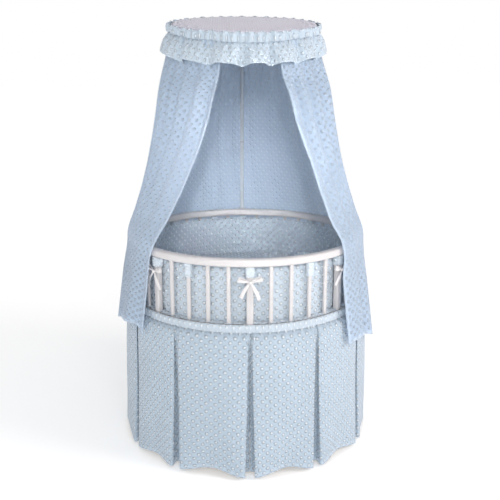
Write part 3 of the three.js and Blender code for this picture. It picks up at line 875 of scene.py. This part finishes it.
class BASSINET_OT_bumper(bpy.types.Operator):
    """Padded ring inside the slats, drawn in where it is tied to the posts"""

    bl_idname = "bassinet.bumper"
    bl_label = "Bumper"

    def execute(self, context):
        outer, foot, top = BUMPER_HIGH.x, BUMPER_LOW.z, BUMPER_HIGH.z
        thickness = 0.013
        middle = outer - thickness / 2
        height = top - foot
        ties = np.array(POST_ANGLES + [2 * math.pi])

        def rule(s, t):
            angle = 2 * np.pi * s
            to_tie = np.abs(angle[:, None] - ties).min(1) * middle
            drawn_in = np.exp(-((to_tie / 0.018) ** 2))
            turn = 2 * np.pi * t
            up = np.sign(np.cos(turn)) * np.abs(np.cos(turn)) ** 0.32
            out = np.sign(np.sin(turn)) * np.abs(np.sin(turn)) ** 0.75
            puff = 0.78 + 0.16 * drift(s, 9, 9) * 0.6 - 0.26 * drawn_in
            ripple = 0.0007 * np.sin(190 * s * np.pi + 3 * drift(s, 2)) * np.abs(up) ** 4
            foot_roll = 0.0036 * np.exp(-(((1 + up) / 0.16) ** 2)) * (1 - drawn_in) * (out > 0)
            r = middle + out * (thickness / 2) * puff + ripple + foot_roll
            z = (foot + top) / 2 + up * height / 2 * (0.985 - 0.03 * drawn_in)
            flat = np.stack([angle * middle, z - foot + (out < 0) * 0.0087], -1)
            return around(r, angle, z), flat

        def turned_foot(s, t):
            angle = 2 * np.pi * s
            r = outer - 0.004 + (RING_HIGH.x - outer + 0.0025) * t
            z = foot + 0.0026 - 0.0026 * t + 0.0005 * np.sin(55 * angle + 2 * drift(s, 3))
            return around(r, angle, z), np.stack([angle * middle, 0.0087 - 0.02 * t], -1)

        ring = laid_grid(420, 44, rule)
        weld(ring)
        face_away(ring, (0, 0, (foot + top) / 2))
        flange = laid_grid(420, 6, turned_foot)
        weld(flange)
        thicken(flange, 0.0012, 0.0)
        ring = join([ring, flange], "bumper")
        # The bumper wears the lighter plush whose colour is painted light for the shaded inside of the
        # basket
        finished(ring, "padded_bumper", "stand", "lit_bumper_plush", ["bumper"])
        return {"FINISHED"}


# ---------------------------------------------------------------- skirt
class BASSINET_OT_waist_band(bpy.types.Operator):
    """Rolled band of plush that hides the skirt's top edge"""

    bl_idname = "bassinet.waist_band"
    bl_label = "Waist band"

    def execute(self, context):
        outer = BAND_HIGH.x
        half_width = 0.0045
        middle = outer - half_width
        half_height = 0.0132
        level = BAND_HIGH.z - half_height

        def rule(s, t):
            angle, turn = 2 * np.pi * s, 2 * np.pi * t
            slack = 1 + 0.09 * np.sin(118 * np.pi * s + turn + 2.5 * drift(s, 11, 5))
            out = np.sin(turn) * half_width * slack
            up = np.sign(np.cos(turn)) * np.abs(np.cos(turn)) ** 0.7 * half_height
            sway = 0.0012 * drift(s, 12, 7)
            flat = np.stack([angle * middle, turn * 0.008], -1)
            return around(middle + out, angle, level + up + sway), flat

        def piping(s, t):
            angle, turn = 2 * np.pi * s, 2 * np.pi * t
            sway = 0.0015 * drift(s, 12, 7) + 0.0007 * drift(s, 13, 17)
            out = np.sin(turn) * 0.0028
            flat = np.stack([angle * middle, turn * 0.003 + 0.0087], -1)
            low = level - half_height - 0.0022 + np.cos(turn) * 0.0036 + sway
            return around(middle + 0.0030 + out, angle, low), flat

        band = laid_grid(600, 20, rule)
        weld(band)
        cord = laid_grid(480, 12, piping)
        weld(cord)
        band = join([band, cord], "band")
        outward_tubes(band)
        finished(band, "rolled_waist_band", "stand", "band_plush", ["waist_band"])
        return {"FINISHED"}


def outward_tubes(ring):
    """Faces of a ring's tubes look away from the tubes' own middles."""
    edit(ring)
    bpy.ops.mesh.normals_make_consistent(inside=False)
    object_mode()


class BASSINET_OT_skirt(bpy.types.Operator):
    """Floor-length skirt in flat panels between inverted box pleats"""

    bl_idname = "bassinet.skirt"
    bl_label = "Pleated skirt"

    def execute(self, context):
        pleats = sizes().pleats
        per_pleat = 44
        across, down = pleats * per_pleat, 58
        top, foot = SKIRT_HIGH.z, SKIRT_LOW.z
        hem_radius = 0.3952
        waist = BAND_HIGH.x - 0.001
        shoulder = 0.014
        underlay, turn_back = 0.1, 0.2  # shares of a pleat's cloth, from its middle
        wide_reach, wide_shift = math.radians(17), math.radians(3.0)  # one wider front panel

        def section(t):
            """Offset along the hem and depth for each column, at a share t down."""
            q = np.arange(per_pleat) / per_pleat
            mirrored = np.minimum(q, 1 - q)
            side = np.where(q < 0.5, 1.0, -1.0)
            radius = radius_at(t)
            length = 2 * np.pi * radius / pleats
            opening = 0.0002 + 0.0112 * max(t - 0.12, 0) ** 1.15
            behind = opening + 0.020 - 0.010 * t
            depth = 0.0015 + 0.036 * t**0.9
            along = np.interp(
                mirrored, [0, underlay, turn_back, 0.5], [0, behind, opening, length / 2]
            )
            inward = np.interp(mirrored, [0, underlay, turn_back, 0.5], [1.0, 0.85, 0.0, 0.0])
            along, inward = along * side, inward * depth
            along[q >= 0.5] += length
            return along, inward, length

        def radius_at(t):
            return smooth_through(
                [0, 0.015, 0.045, 0.5, 1.0],
                [waist, waist + 0.009, waist + shoulder, 0.383, hem_radius], np.atleast_1d(t)
            )[0]

        rows = np.linspace(0, 1, down + 1)
        offset = np.empty((down + 1, across + 1))
        inside = np.empty((down + 1, across + 1))
        for i, t in enumerate(rows):
            along, inward, length = section(t)
            line = np.concatenate([along + k * length for k in range(pleats)] + [[pleats * length]])
            deep = np.concatenate([np.tile(inward, pleats), inward[:1]])
            for _ in range(2):
                padded_line = np.concatenate(
                    [line[-3:-1] - pleats * length, line, line[1:3] + pleats * length]
                )
                padded_deep = np.concatenate([deep[-3:-1], deep, deep[1:3]])
                line = (padded_line[1:-3] + 2 * padded_line[2:-2] + padded_line[3:-1]) / 4
                deep = (padded_deep[1:-3] + 2 * padded_deep[2:-2] + padded_deep[3:-1]) / 4
            offset[i], inside[i] = line / (length * pleats), deep

        lay = hem_radius * 2 * np.pi * offset[down // 2]
        cloth_run = np.concatenate(
            [[0], np.cumsum(np.hypot(np.diff(lay), np.diff(inside[down // 2])))]
        )
        drop = top - foot

        def rule(s, t):
            column = np.rint(s * across).astype(int)
            row = np.rint(t * down).astype(int)
            share = offset[row, column]
            angle = 2 * np.pi * share
            to_wide = (angle - 2 * np.pi * (1 - 1 / pleats)) / wide_reach
            angle = angle - wide_shift * np.exp(-(to_wide**2))
            phase = (share * pleats) % 1
            panel = np.floor(share * pleats)
            lift = np.sin(np.pi * phase) ** 2
            own = np.sin(2.4 * panel + 0.8)
            sway = 0.004 * np.sin(2 * np.pi * phase + 1.9 * panel) * t
            radius = np.array([radius_at(x) for x in rows])[row]
            radius = radius - inside[row, column]
            billow = 0.004 * np.sin(np.pi * np.clip(t * 1.15, 0, 1)) * lift
            radius = radius + billow - (0.013 + 0.004 * own) * t**3 * lift + sway * lift
            z = top - t * drop + (0.012 + 0.004 * own) * t**4 * lift
            z = z + 0.0026 * drift(share, 21, 36) * t**4
            flat = np.stack([cloth_run[column], t * drop * 1.01], -1)
            return around(radius, angle, z), flat

        skirt = laid_grid(across, down, rule, hem=lambda s, t: (t > 0.975) * 0.2)
        weld(skirt)
        face_away(skirt, (0, 0, (top + foot) / 2))
        thicken(skirt, 0.0016)
        finished(
            skirt, "pleated_skirt", "stand", "dotted_plush", ["skirt"]
        )
        return {"FINISHED"}


# ---------------------------------------------------------------- canopy
def canopy_head():
    """Matrix of the hoop's own plane, and the hoop's radius to the middle of its wire."""
    wire = sizes().wire
    radius = HOOP_HIGH.x - wire
    middle = (HOOP_LOW + HOOP_HIGH) / 2
    return Matrix.Translation(middle) @ Matrix.Rotation(sizes().hoop_tilt, 4, "X"), radius


class BASSINET_OT_canopy_post(bpy.types.Operator):
    """Two coated tubes and the hoop that the canopy hangs on"""

    bl_idname = "bassinet.canopy_post"
    bl_label = "Canopy post and hoop"

    def tube(self, low, high, name, node):
        deselect()
        radius = (high.x - low.x) / 2
        centre_y = (low.y + high.y) / 2
        bpy.ops.mesh.primitive_cylinder_add(
            vertices=48, radius=radius, depth=high.z - low.z,
            location=(0, centre_y, (low.z + high.z) / 2),
        )
        tube = bpy.context.object
        settle(tube)
        ends = [f.index for f in tube.data.polygons if abs(f.normal.z) > 0.9]
        edit(tube, "DESELECT")
        object_mode()
        for i in ends:
            tube.data.polygons[i].select = True
        bpy.ops.object.mode_set(mode="EDIT")
        bpy.ops.mesh.inset(thickness=0.0017)
        bpy.ops.mesh.extrude_region_shrink_fatten(
            TRANSFORM_OT_shrink_fatten={"value": -0.006}
        )
        object_mode()
        finished(tube, name, "canopy", "coated_tube", [node], 40)

    def execute(self, context):
        self.tube(LOWER_POST_LOW, LOWER_POST_HIGH, "coated_post_lower", "canopy_post_lower")
        self.tube(UPPER_POST_LOW, UPPER_POST_HIGH, "coated_post_upper", "canopy_post_upper")
        matrix, radius = canopy_head()
        deselect()
        bpy.ops.mesh.primitive_torus_add(
            major_radius=radius, minor_radius=sizes().wire, major_segments=160,
            minor_segments=16,
        )
        hoop = bpy.context.object
        hoop.matrix_world = matrix
        settle(hoop)
        finished(hoop, "coated_hoop", "canopy", "coated_tube", ["canopy_hoop"])
        return {"FINISHED"}


class BASSINET_OT_cover(bpy.types.Operator):
    """Round plush top of the canopy, gathered a little at its rim"""

    bl_idname = "bassinet.cover"
    bl_label = "Canopy cover"

    def execute(self, context):
        matrix, hoop = canopy_head()
        rim = hoop + sizes().wire + 0.0055
        corner, turned_down = 0.006, 0.018
        reach = rim - corner + corner * math.pi / 2 + turned_down

        def rule(s, t):
            angle, run = 2 * np.pi * s, t * reach
            edge = np.clip((run / rim - 0.6) / 0.4, 0, 1) ** 2
            gather = 0.0010 * edge * np.sin(96 * angle + 2 * drift(s, 31, 6))
            turn = np.clip((run - rim + corner) / corner, 0, np.pi / 2)
            r = np.minimum(run, rim - corner) + corner * np.sin(turn)
            z = 0.0022 + corner * np.cos(turn) + 0.0006 * drift(s, 33, 5) * run / rim
            z = z + 0.0020 * np.clip(1 - (run / rim) ** 2, 0, 1) + gather * np.cos(turn)
            z = z - np.clip(run - rim + corner - corner * np.pi / 2, 0, None)
            flat = np.stack([run * np.sin(angle), -run * np.cos(angle)], -1)
            return around(r + gather * np.sin(turn), angle, z), flat

        cover = laid_grid(384, 52, rule)
        weld(cover)
        face_away(cover, (0, 0, -1))
        thicken(cover, 0.0018)
        cover.data.transform(matrix)
        finished(
            cover, "gathered_cover", "canopy", "cover_plush", ["canopy_cover"]
        )
        return {"FINISHED"}


class BASSINET_OT_ruffle(bpy.types.Operator):
    """Gathered ruffle round the hoop, with a small frill above its seam"""

    bl_idname = "bassinet.ruffle"
    bl_label = "Ruffle"

    def execute(self, context):
        matrix, hoop = canopy_head()
        seam = hoop + sizes().wire + 0.0068
        heights = [0.0075, -0.003, -0.0122, -0.0112, -0.0150, -0.027, -0.043, -0.062, -0.080]
        reach = [0.0085, 0.0108, 0.0100, 0.0010, 0.0020, 0.0090, 0.0180, 0.0240, 0.0280]
        fine = [0.0040, 0.0034, 0.0030, 0.0008, 0.0014, 0.0030, 0.0022, 0.0010, 0.0004]
        broad = [0.0010, 0.0014, 0.0018, 0.0004, 0.0012, 0.0056, 0.0086, 0.0102, 0.0108]
        fullness, cut = 1.55, 0.096  # the cut is longer than the hoop by its fullness
        gathers_round, waves_round = 62, 17
        sway = [0.35, 0.6, 1.0, 1.0, 1.0, 1.0, 1.0, 1.0, 1.0]
        lowered = [0.0, 0.4, 1.0, 1.0, 1.0, 0.9, 0.7, 0.4, 0.15]
        stops = np.concatenate([[0], np.cumsum(np.hypot(np.diff(heights), np.diff(reach)))])
        stops = stops / stops[-1]

        def rule(s, t):
            angle = 2 * np.pi * s
            gathers = np.sin(gathers_round * angle + 3.0 * drift(s, 41, 9))
            swing = waves_round * angle + 2.6 * drift(s, 42, 8)
            waves = np.sin(swing) + 0.34 * np.sin(2 * swing + 1.2 + drift(s, 43, 7))
            back = np.clip(-np.cos(angle), 0, 1) ** 2
            flare = smooth_through(stops, reach, t) * (1 - 0.22 * back)
            r = seam + flare
            r = r + smooth_through(stops, fine, t) * gathers
            r = r + smooth_through(stops, broad, t) * waves * (1 - 0.3 * back)
            z = smooth_through(stops, heights, t)
            hang = np.clip((t - 0.3) / 0.7, 0, 1) ** 2
            z = z + hang * (0.0062 * waves + 0.0042 * drift(s, 44, 11))
            front = np.clip(np.cos(angle), 0, 1)
            z = z - 0.0068 * front * smooth_through(stops, lowered, t)
            frill = np.clip(1 - t / stops[2], 0, 1)
            seam_sway = 0.0046 * drift(s, 45, 14) + 0.0022 * drift(s, 48, 44)
            z = z + seam_sway * (1 - hang) * (1 - 0.6 * back) * smooth_through(stops, sway, t)
            z = z + 0.0022 * frill * np.sin(41 * angle + 3 * drift(s, 46, 9))
            flat = np.stack([fullness * seam * angle, t * cut], -1)
            return around(r, angle, z), flat

        ruffle = laid_grid(1000, 46, rule, hem=lambda s, t: (t > 0.965) * 0.25)
        weld(ruffle)
        face_away(ruffle, (0, 0, 0))
        thicken(ruffle, 0.0012, 0.0)
        ruffle.data.transform(matrix)
        finished(
            ruffle, "gathered_ruffle", "canopy", "ruffle_plush",
            ["canopy_ruffle"],
        )
        return {"FINISHED"}


class BASSINET_OT_drape(bpy.types.Operator):
    """One long sheet from front edge to front edge, round the back of the hoop and the rail"""

    bl_idname = "bassinet.drape"
    bl_label = "Drape"

    def execute(self, context):
        matrix, hoop = canopy_head()
        tilt = sizes().hoop_tilt
        centre = matrix.translation
        head = hoop + sizes().wire + 0.0043
        rail = RAIL_HIGH.x
        back_line = SOCKET_HIGH.y + 0.0015
        hem = DRAPE_LOW.z

        def head_row(depth, side, front, edge, back=None):
            y = centre.y + depth * math.sin(tilt)
            z = centre.z - depth * math.cos(tilt)
            straight = (back_line - y) / math.cos(tilt)
            return (z, y, tilt, head + side, head + front, straight if back is None else back, edge)

        def level_row(z, y, side, front, back, edge):
            return (z, y, 0.0, side, front, back - y, edge)

        rows = [
            head_row(-0.003, 0.0, 0.0, 21.0, head),
            head_row(0.004, 0.0005, 0.0005, 21.0, head + 0.0003),
            head_row(0.036, 0.0065, 0.0055, 21.0),
            head_row(0.090, 0.0155, 0.0105, 21.5),
            level_row(1.0165, 0.095, 0.2588, 0.2403, back_line, 26.9),
            level_row(0.8597, 0.0546, 0.2891, 0.2813, back_line, 35.0),
            level_row(0.7186, 0.0196, 0.3342, 0.3310, back_line, 42.0),
            level_row(RAIL_HIGH.z + 0.004, 0.0, rail + 0.0055, rail + 0.0055, back_line + 0.002, 47.5),
            level_row(RAIL_LOW.z - 0.010, 0.0, rail + 0.0085, rail + 0.0085, back_line + 0.003, 49.5),
            level_row(0.470, 0.0, rail + 0.022, rail + 0.022, back_line + 0.008, 50.0),
            level_row(hem, 0.0, rail + 0.036, rail + 0.037, back_line + 0.018, 50.5),
        ]
        table = np.array(rows)
        stops = np.concatenate([[0], np.cumsum(np.hypot(*np.diff(table[:, [0, 3]], axis=0).T))])
        length = stops[-1]
        stops = stops / length
        width = 1.86  # the cut's width
        folds, wide_folds = 25, 13

        def rule(s, t):
            z, y, tip, side, front, back, edge = (
                smooth_through(stops, table[:, i], t) for i in range(7)
            )
            uneven = 3.1 * (1 - np.clip((t - 0.42) / 0.2, 0, 1))
            right = np.radians(edge + uneven - 4.0 * np.clip((t - 0.66) / 0.12, 0, 1))
            left = np.radians(edge - uneven)
            angle = right + (2 * np.pi - right - left) * s
            facing = np.clip(np.cos(angle), 0, 1) ** 2
            behind = np.clip(-np.cos(angle), 0, 1) ** 2
            reach = side + (front - side) * facing + (back - side) * behind
            calm = 1 - 0.40 * behind
            # folds start shallow at the hoop, deepest a fifth down, drawn flat at the rail
            upper = smooth_through(
                [0, 0.03, 0.09, 0.22, 0.45, 0.68, 0.72, 1],
                [0.06, 0.18, 0.30, 1.0, 0.72, 0.24, 0.2, 0.3], t,
            )
            lower = smooth_through([0, 0.5, 0.7, 0.82, 1], [0, 0, 0.12, 0.7, 1.0], t)
            swing = 2 * np.pi * folds * s + 1.9 * drift(s, 51, 7)
            close = np.sin(swing) + 0.12 * np.sin(2 * swing + 0.9 + 1.2 * drift(s, 52, 5))
            close = close * (0.86 + 0.22 * drift(s, 55, 9))
            wide = np.sin(2 * np.pi * wide_folds * s + 1.6 * drift(s, 53, 6))
            fold = 0.0124 * upper * close + 0.0080 * lower * wide
            fold = fold * calm + 0.0105 * calm * np.clip(t * 8, 0, 1) * upper
            fold = fold + 0.0055 * lower + 0.006 * behind * np.clip((t - 0.02) * 20, 0, 1) * 0.4
            r = reach + fold
            x_ = r * np.sin(angle)
            forward = -r * np.cos(angle)
            down_tip = forward * np.sin(tip)
            points = np.stack([x_, y + forward * np.cos(tip), z + down_tip], -1)
            bend = 0.60
            on_left = np.sin(angle) < 0
            degrees = np.degrees(np.where(on_left, 2 * np.pi - angle, angle))
            ends = np.where(
                on_left,
                smooth_through(
                    [50, 53, 57, 66, 78, 92, 135, 180],
                    [0.386, 0.396, 0.409, 0.402, 0.380, 0.352, 0.342, 0.347], degrees,
                ),
                smooth_through(
                    [46, 49, 55, 70, 90, 135, 180],
                    [0.352, 0.362, 0.365, 0.335, 0.305, 0.325, 0.347], degrees,
                ),
            )
            low = points[:, 2] < bend
            points[low, 2] = bend - (bend - points[low, 2]) * ((bend - ends[low]) / (bend - hem))
            flat = np.stack([s * width, t * length], -1)
            return points, flat

        def hem_mask(s, t):
            from_edge = np.minimum(s, 1 - s) * width
            return np.maximum((from_edge < 0.011) * 0.45, (t > 0.988) * 0.45)

        drape = laid_grid(330, 128, rule, hem=hem_mask)
        face_away(drape, (0, 0, 0.7))
        thicken(drape, sizes().cloth)
        # The drape wears the lighter plush whose colour is painted light for the shaded inside of the
        # canopy
        finished(
            drape, "long_drape", "canopy", "lit_drape_plush", ["canopy_drape"]
        )
        return {"FINISHED"}


# ---------------------------------------------------------------- ribbons
def ribbon_strip(path, width_along, breadth, steps=40):
    """A ribbon along path(t), breadth(t) wide along the direction width_along(t)."""
    shares = np.linspace(0, 1, steps + 1)
    line = np.array([path(x) for x in shares])
    lean = np.array([width_along(x) for x in shares])
    lean = lean / np.linalg.norm(lean, axis=1, keepdims=True)
    wide = np.array([breadth(x) for x in shares])
    run = np.concatenate([[0], np.cumsum(np.linalg.norm(np.diff(line, axis=0), axis=1))])

    def rule(s, t):
        row = np.rint(t * steps).astype(int)
        across = (s - 0.5) * wide[row]
        points = line[row] + lean[row] * across[:, None]
        points[:, 1] -= 0.0008 * (1 - (2 * s - 1) ** 2)
        return points, np.stack([across, run[row]], -1)

    strip = laid_grid(8, steps, rule)
    thicken(strip, 0.0005, 0.0)
    return strip


def tied_bow(ribbon):
    """A bow with two raised loops, two spread tails and a knot, facing -Y at the origin."""
    parts = []
    for side in (-1, 1):

        def rise(t):
            return math.radians(13 + 17 * t + 2 * side)

        def loop(t):
            out = 0.0355 * math.sin(math.pi * t) ** 0.75
            droop = 0.10 * out * out / 0.0355
            y = -0.0052 - 0.0042 * math.sin(2 * math.pi * t)
            return (side * out * math.cos(rise(t)), y, out * math.sin(rise(t)) - droop)

        def loop_lean(t):
            return (-side * math.sin(rise(t)), 0.28 * math.cos(math.pi * t), math.cos(rise(t)))

        def loop_breadth(t):
            return ribbon * (0.42 + 0.85 * math.sin(math.pi * t) ** 1.2)

        def tail(t):
            x = side * (0.001 + 0.0235 * t + 0.003 * math.sin(math.pi * t))
            y = -0.0052 - 0.0026 * math.sin(math.pi * t * 1.4)
            return (x, y, -0.001 - (0.047 + 0.003 * side) * t)

        def tail_lean(t):
            return (1.0, 0.3 * side * math.sin(2.8 * t), side * (0.45 + 0.1 * t))

        def tail_breadth(t):
            return ribbon * (0.5 + 0.6 * min(1.0, 2.2 * t))

        parts.append(ribbon_strip(loop, loop_lean, loop_breadth, 44))
        parts.append(ribbon_strip(tail, tail_lean, tail_breadth, 26))
    knot = ribbon_strip(
        lambda t: (
            0.0046 * math.cos(2 * math.pi * t), -0.0062 + 0.0048 * math.sin(2 * math.pi * t), 0.0
        ),
        lambda t: (0.12, 0, 1), lambda t: ribbon * 0.8, 24,
    )
    parts.append(knot)
    return join(parts, "bow_pattern")


class BASSINET_OT_bows(bpy.types.Operator):
    """Satin bows on the posts, all but the one that the canopy post stands behind"""

    bl_idname = "bassinet.bows"
    bl_label = "Ribbon bows"

    def execute(self, context):
        bow = tied_bow(sizes().ribbon)
        face = FRONT_POST_LOW.y - 0.0004
        level = RAIL_LOW.z - 0.040
        for i, (name, angle) in enumerate(zip(POSTS, POST_ANGLES)):
            if name == "back":
                continue
            lean = Matrix.Rotation(math.radians(4.0 * math.sin(2.1 * i)), 4, "Y")
            place = Matrix.Rotation(angle, 4, "Z") @ Matrix.Translation((0, face, level)) @ lean
            twin = copied(bow, f"bow_{name}", place)
            finished(twin, twin.name, "stand", "satin_ribbon")
        bpy.data.objects.remove(bow)
        return {"FINISHED"}


class BASSINET_OT_tabs(bpy.types.Operator):
    """Plush loops of the bumper round the posts and one slat of each bay, under the rail"""

    bl_idname = "bassinet.tabs"
    bl_label = "Bumper tabs"

    def tab(self, half_width, half_depth, height, name, angle):
        circle = (FRONT_POST_HIGH.y + FRONT_POST_LOW.y) / 2
        top = RAIL_LOW.z - 0.0008
        corner = 0.0022

        def rule(s, t):
            turn = 2 * np.pi * s
            square = np.maximum(np.abs(np.sin(turn)), np.abs(np.cos(turn)))
            ease = 0.82 + 0.18 * (1 / square - 1) / (math.sqrt(2) - 1)
            x = np.clip(np.sin(turn) / square, -1, 1) * (half_width + corner * (ease - 0.9))
            y = np.clip(-np.cos(turn) / square, -1, 1) * (half_depth + corner * (ease - 0.9))
            flare = 1 + 0.05 * t**3 * np.cos(3 * turn)
            points = np.stack([x * flare, circle + y * flare, top - t * height], -1)
            return points, np.stack([turn * half_width, t * height], -1)

        sleeve = laid_grid(48, 14, rule, hem=lambda s, t: 0.3 + 0 * s)
        weld(sleeve)
        face_away(sleeve, (0, circle, top - height / 2))
        thicken(sleeve, 0.0011, 0.0)
        sleeve.data.transform(Matrix.Rotation(angle, 4, "Z"))
        finished(sleeve, name, "stand", "light_plush")

    def execute(self, context):
        size = sizes()
        clear = 0.0014
        for name, angle in zip(POSTS, POST_ANGLES):
            self.tab(
                size.post_width / 2 + clear, size.post_thickness / 2 + clear, 0.027,
                f"post_tab_{name}", angle,
            )
        for i, (start, bay) in enumerate(zip(POST_ANGLES, BAYS)):
            place = 3 if i < 4 else SLATS_PER_BAY + 1 - 3
            self.tab(
                size.slat_width / 2 + clear + 0.0012, size.slat_thickness / 2 + clear, 0.038,
                f"slat_tab_{i + 1}", start + math.radians(bay) * place / (SLATS_PER_BAY + 1),
            )
        return {"FINISHED"}


# ---------------------------------------------------------------- studio
class BASSINET_OT_studio(bpy.types.Operator):
    """Pale floor that glows as painted light, soft lights and the camera"""

    bl_idname = "bassinet.studio"
    bl_label = "Studio"

    def light(self, name, place, aim, size, power, colour, spread=180):
        data = bpy.data.lights.new(name, "AREA")
        data.spread = math.radians(spread)
        data.size, data.energy, data.color = size, power, colour
        lamp = bpy.data.objects.new(name, data)
        bpy.context.scene.collection.objects.link(lamp)
        lamp.location = place
        lamp.rotation_euler = (Vector(aim) - Vector(place)).to_track_quat("-Z", "Y").to_euler()

    def execute(self, context):
        scene = context.scene
        deselect()
        bpy.ops.mesh.primitive_plane_add(size=120, location=(0, 0, 0))
        floor = bpy.context.object
        floor.name = floor.data.name = "studio_floor"
        material, shader, add, wire_up = new_material("glowing_pale_floor")
        cloud = add(
            "TexNoise", {"Vector": add("TexCoord").outputs["Object"], "Scale": 1.5, "Detail": 2.0}
        ).outputs["Fac"]
        colour = tuple(colours().floor)
        wire_up(
            ramp(add, cloud, (0.3, shaded(colour, 0.99)), (0.7, shaded(colour, 1.0))),
            "Base Color",
        )
        set_shader(
            shader, Roughness=0.9, Specular_IOR_Level=0.1, Emission_Color=(1, 1, 1, 1)
        )
        # The floor glows as painted light: dimmer near the bassinet so its ground shadow stays,
        # brighter far off so the far floor washes to white
        out = add("VectorMath", {0: add("TexCoord").outputs["Object"]}, operation="LENGTH")
        wire_up(
            add(
                "MapRange",
                {
                    "Value": out.outputs["Value"], "From Min": 0.5, "From Max": 3.2,
                    "To Min": 0.30, "To Max": 0.57,
                },
            ).outputs["Result"],
            "Emission Strength",
        )
        floor.data.materials.append(material)

        world = bpy.data.worlds.new("studio")
        world.use_nodes = True
        nodes, links = world.node_tree.nodes, world.node_tree.links
        nodes["Background"].inputs["Color"].default_value = (1, 1, 1, 1)
        split = nodes.new("ShaderNodeSeparateXYZ")
        links.new(nodes.new("ShaderNodeTexCoord").outputs["Generated"], split.inputs[0])
        dimmer = nodes.new("ShaderNodeMapRange")
        for socket, value in (("From Min", 0.20), ("From Max", 0.42), ("To Min", 1), ("To Max", 0.4)):
            dimmer.inputs[socket].default_value = value
        links.new(split.outputs["Z"], dimmer.inputs["Value"])
        links.new(dimmer.outputs["Result"], nodes["Background"].inputs["Strength"])
        scene.world = world
        scene.view_settings.view_transform = "Standard"
        self.light("key", (3.0, -1.35, 2.1), (0, 0, 0.7), 1.2, 52, (1.0, 0.955, 0.955))
        self.light("front", (0.1, -3.1, 1.9), (0, 0.1, 0.75), 2.0, 36, (1, 1, 1))
        self.light("inside", (0.0, -1.9, 1.45), (0, 0.3, 0.70), 0.3, 0.5, (1, 1, 1), spread=18)
        self.light("fill", (-2.6, -1.8, 1.7), (0, 0, 0.6), 2.0, 8, (0.95, 0.96, 1.0))
        self.light("top", (0.3, 0.6, 3.6), (0, 0, 1.0), 1.8, 5, (1, 1, 1))

        aim = math.radians(2.0)
        distance, height, down = 2.1, 1.1144, math.radians(13.3)
        data = bpy.data.cameras.new("camera")
        data.sensor_width, data.lens = 36, 49.13
        data.shift_x, data.shift_y = 0.009, -0.0302
        camera = bpy.data.objects.new("camera", data)
        scene.collection.objects.link(camera)
        camera.location = (-distance * math.sin(aim), -distance * math.cos(aim), height)
        camera.rotation_euler = (math.pi / 2 - down, 0, -aim)
        scene.camera = camera
        return {"FINISHED"}


# ---------------------------------------------------------------- panel and order of work
STEPS = (
    BASSINET_OT_studio,
    BASSINET_OT_cad_finishes,
    BASSINET_OT_rail,
    BASSINET_OT_uprights,
    BASSINET_OT_mattress,
    BASSINET_OT_bumper,
    BASSINET_OT_waist_band,
    BASSINET_OT_skirt,
    BASSINET_OT_canopy_post,
    BASSINET_OT_cover,
    BASSINET_OT_ruffle,
    BASSINET_OT_drape,
    BASSINET_OT_bows,
    BASSINET_OT_tabs,
)


class BASSINET_PT_sidebar(bpy.types.Panel):
    """Lists the pieces, the sizes and the colours"""

    bl_label = "Round Bassinet"
    bl_idname = "BASSINET_PT_sidebar"
    bl_space_type = "VIEW_3D"
    bl_region_type = "UI"
    bl_category = "Bassinet"

    def draw(self, context):
        for step in STEPS:
            self.layout.operator(step.bl_idname)
        for group in (context.scene.bassinet_sizes, context.scene.bassinet_colours):
            box = self.layout.box()
            for name in group.bl_rna.properties.keys():
                if name not in ("rna_type", "name"):
                    box.prop(group, name)


CLASSES = (BassinetSizes, BassinetColours, *STEPS, BASSINET_PT_sidebar)


def register():
    for item in CLASSES:
        bpy.utils.register_class(item)
    bpy.types.Scene.bassinet_sizes = PointerProperty(type=BassinetSizes)
    bpy.types.Scene.bassinet_colours = PointerProperty(type=BassinetColours)


def unregister():
    del bpy.types.Scene.bassinet_sizes
    del bpy.types.Scene.bassinet_colours
    for item in reversed(CLASSES):
        bpy.utils.unregister_class(item)


def main():
    register()
    for step in STEPS:
        group, name = step.bl_idname.split(".")
        getattr(getattr(bpy.ops, group), name)()


if __name__ == "__main__":
    main()
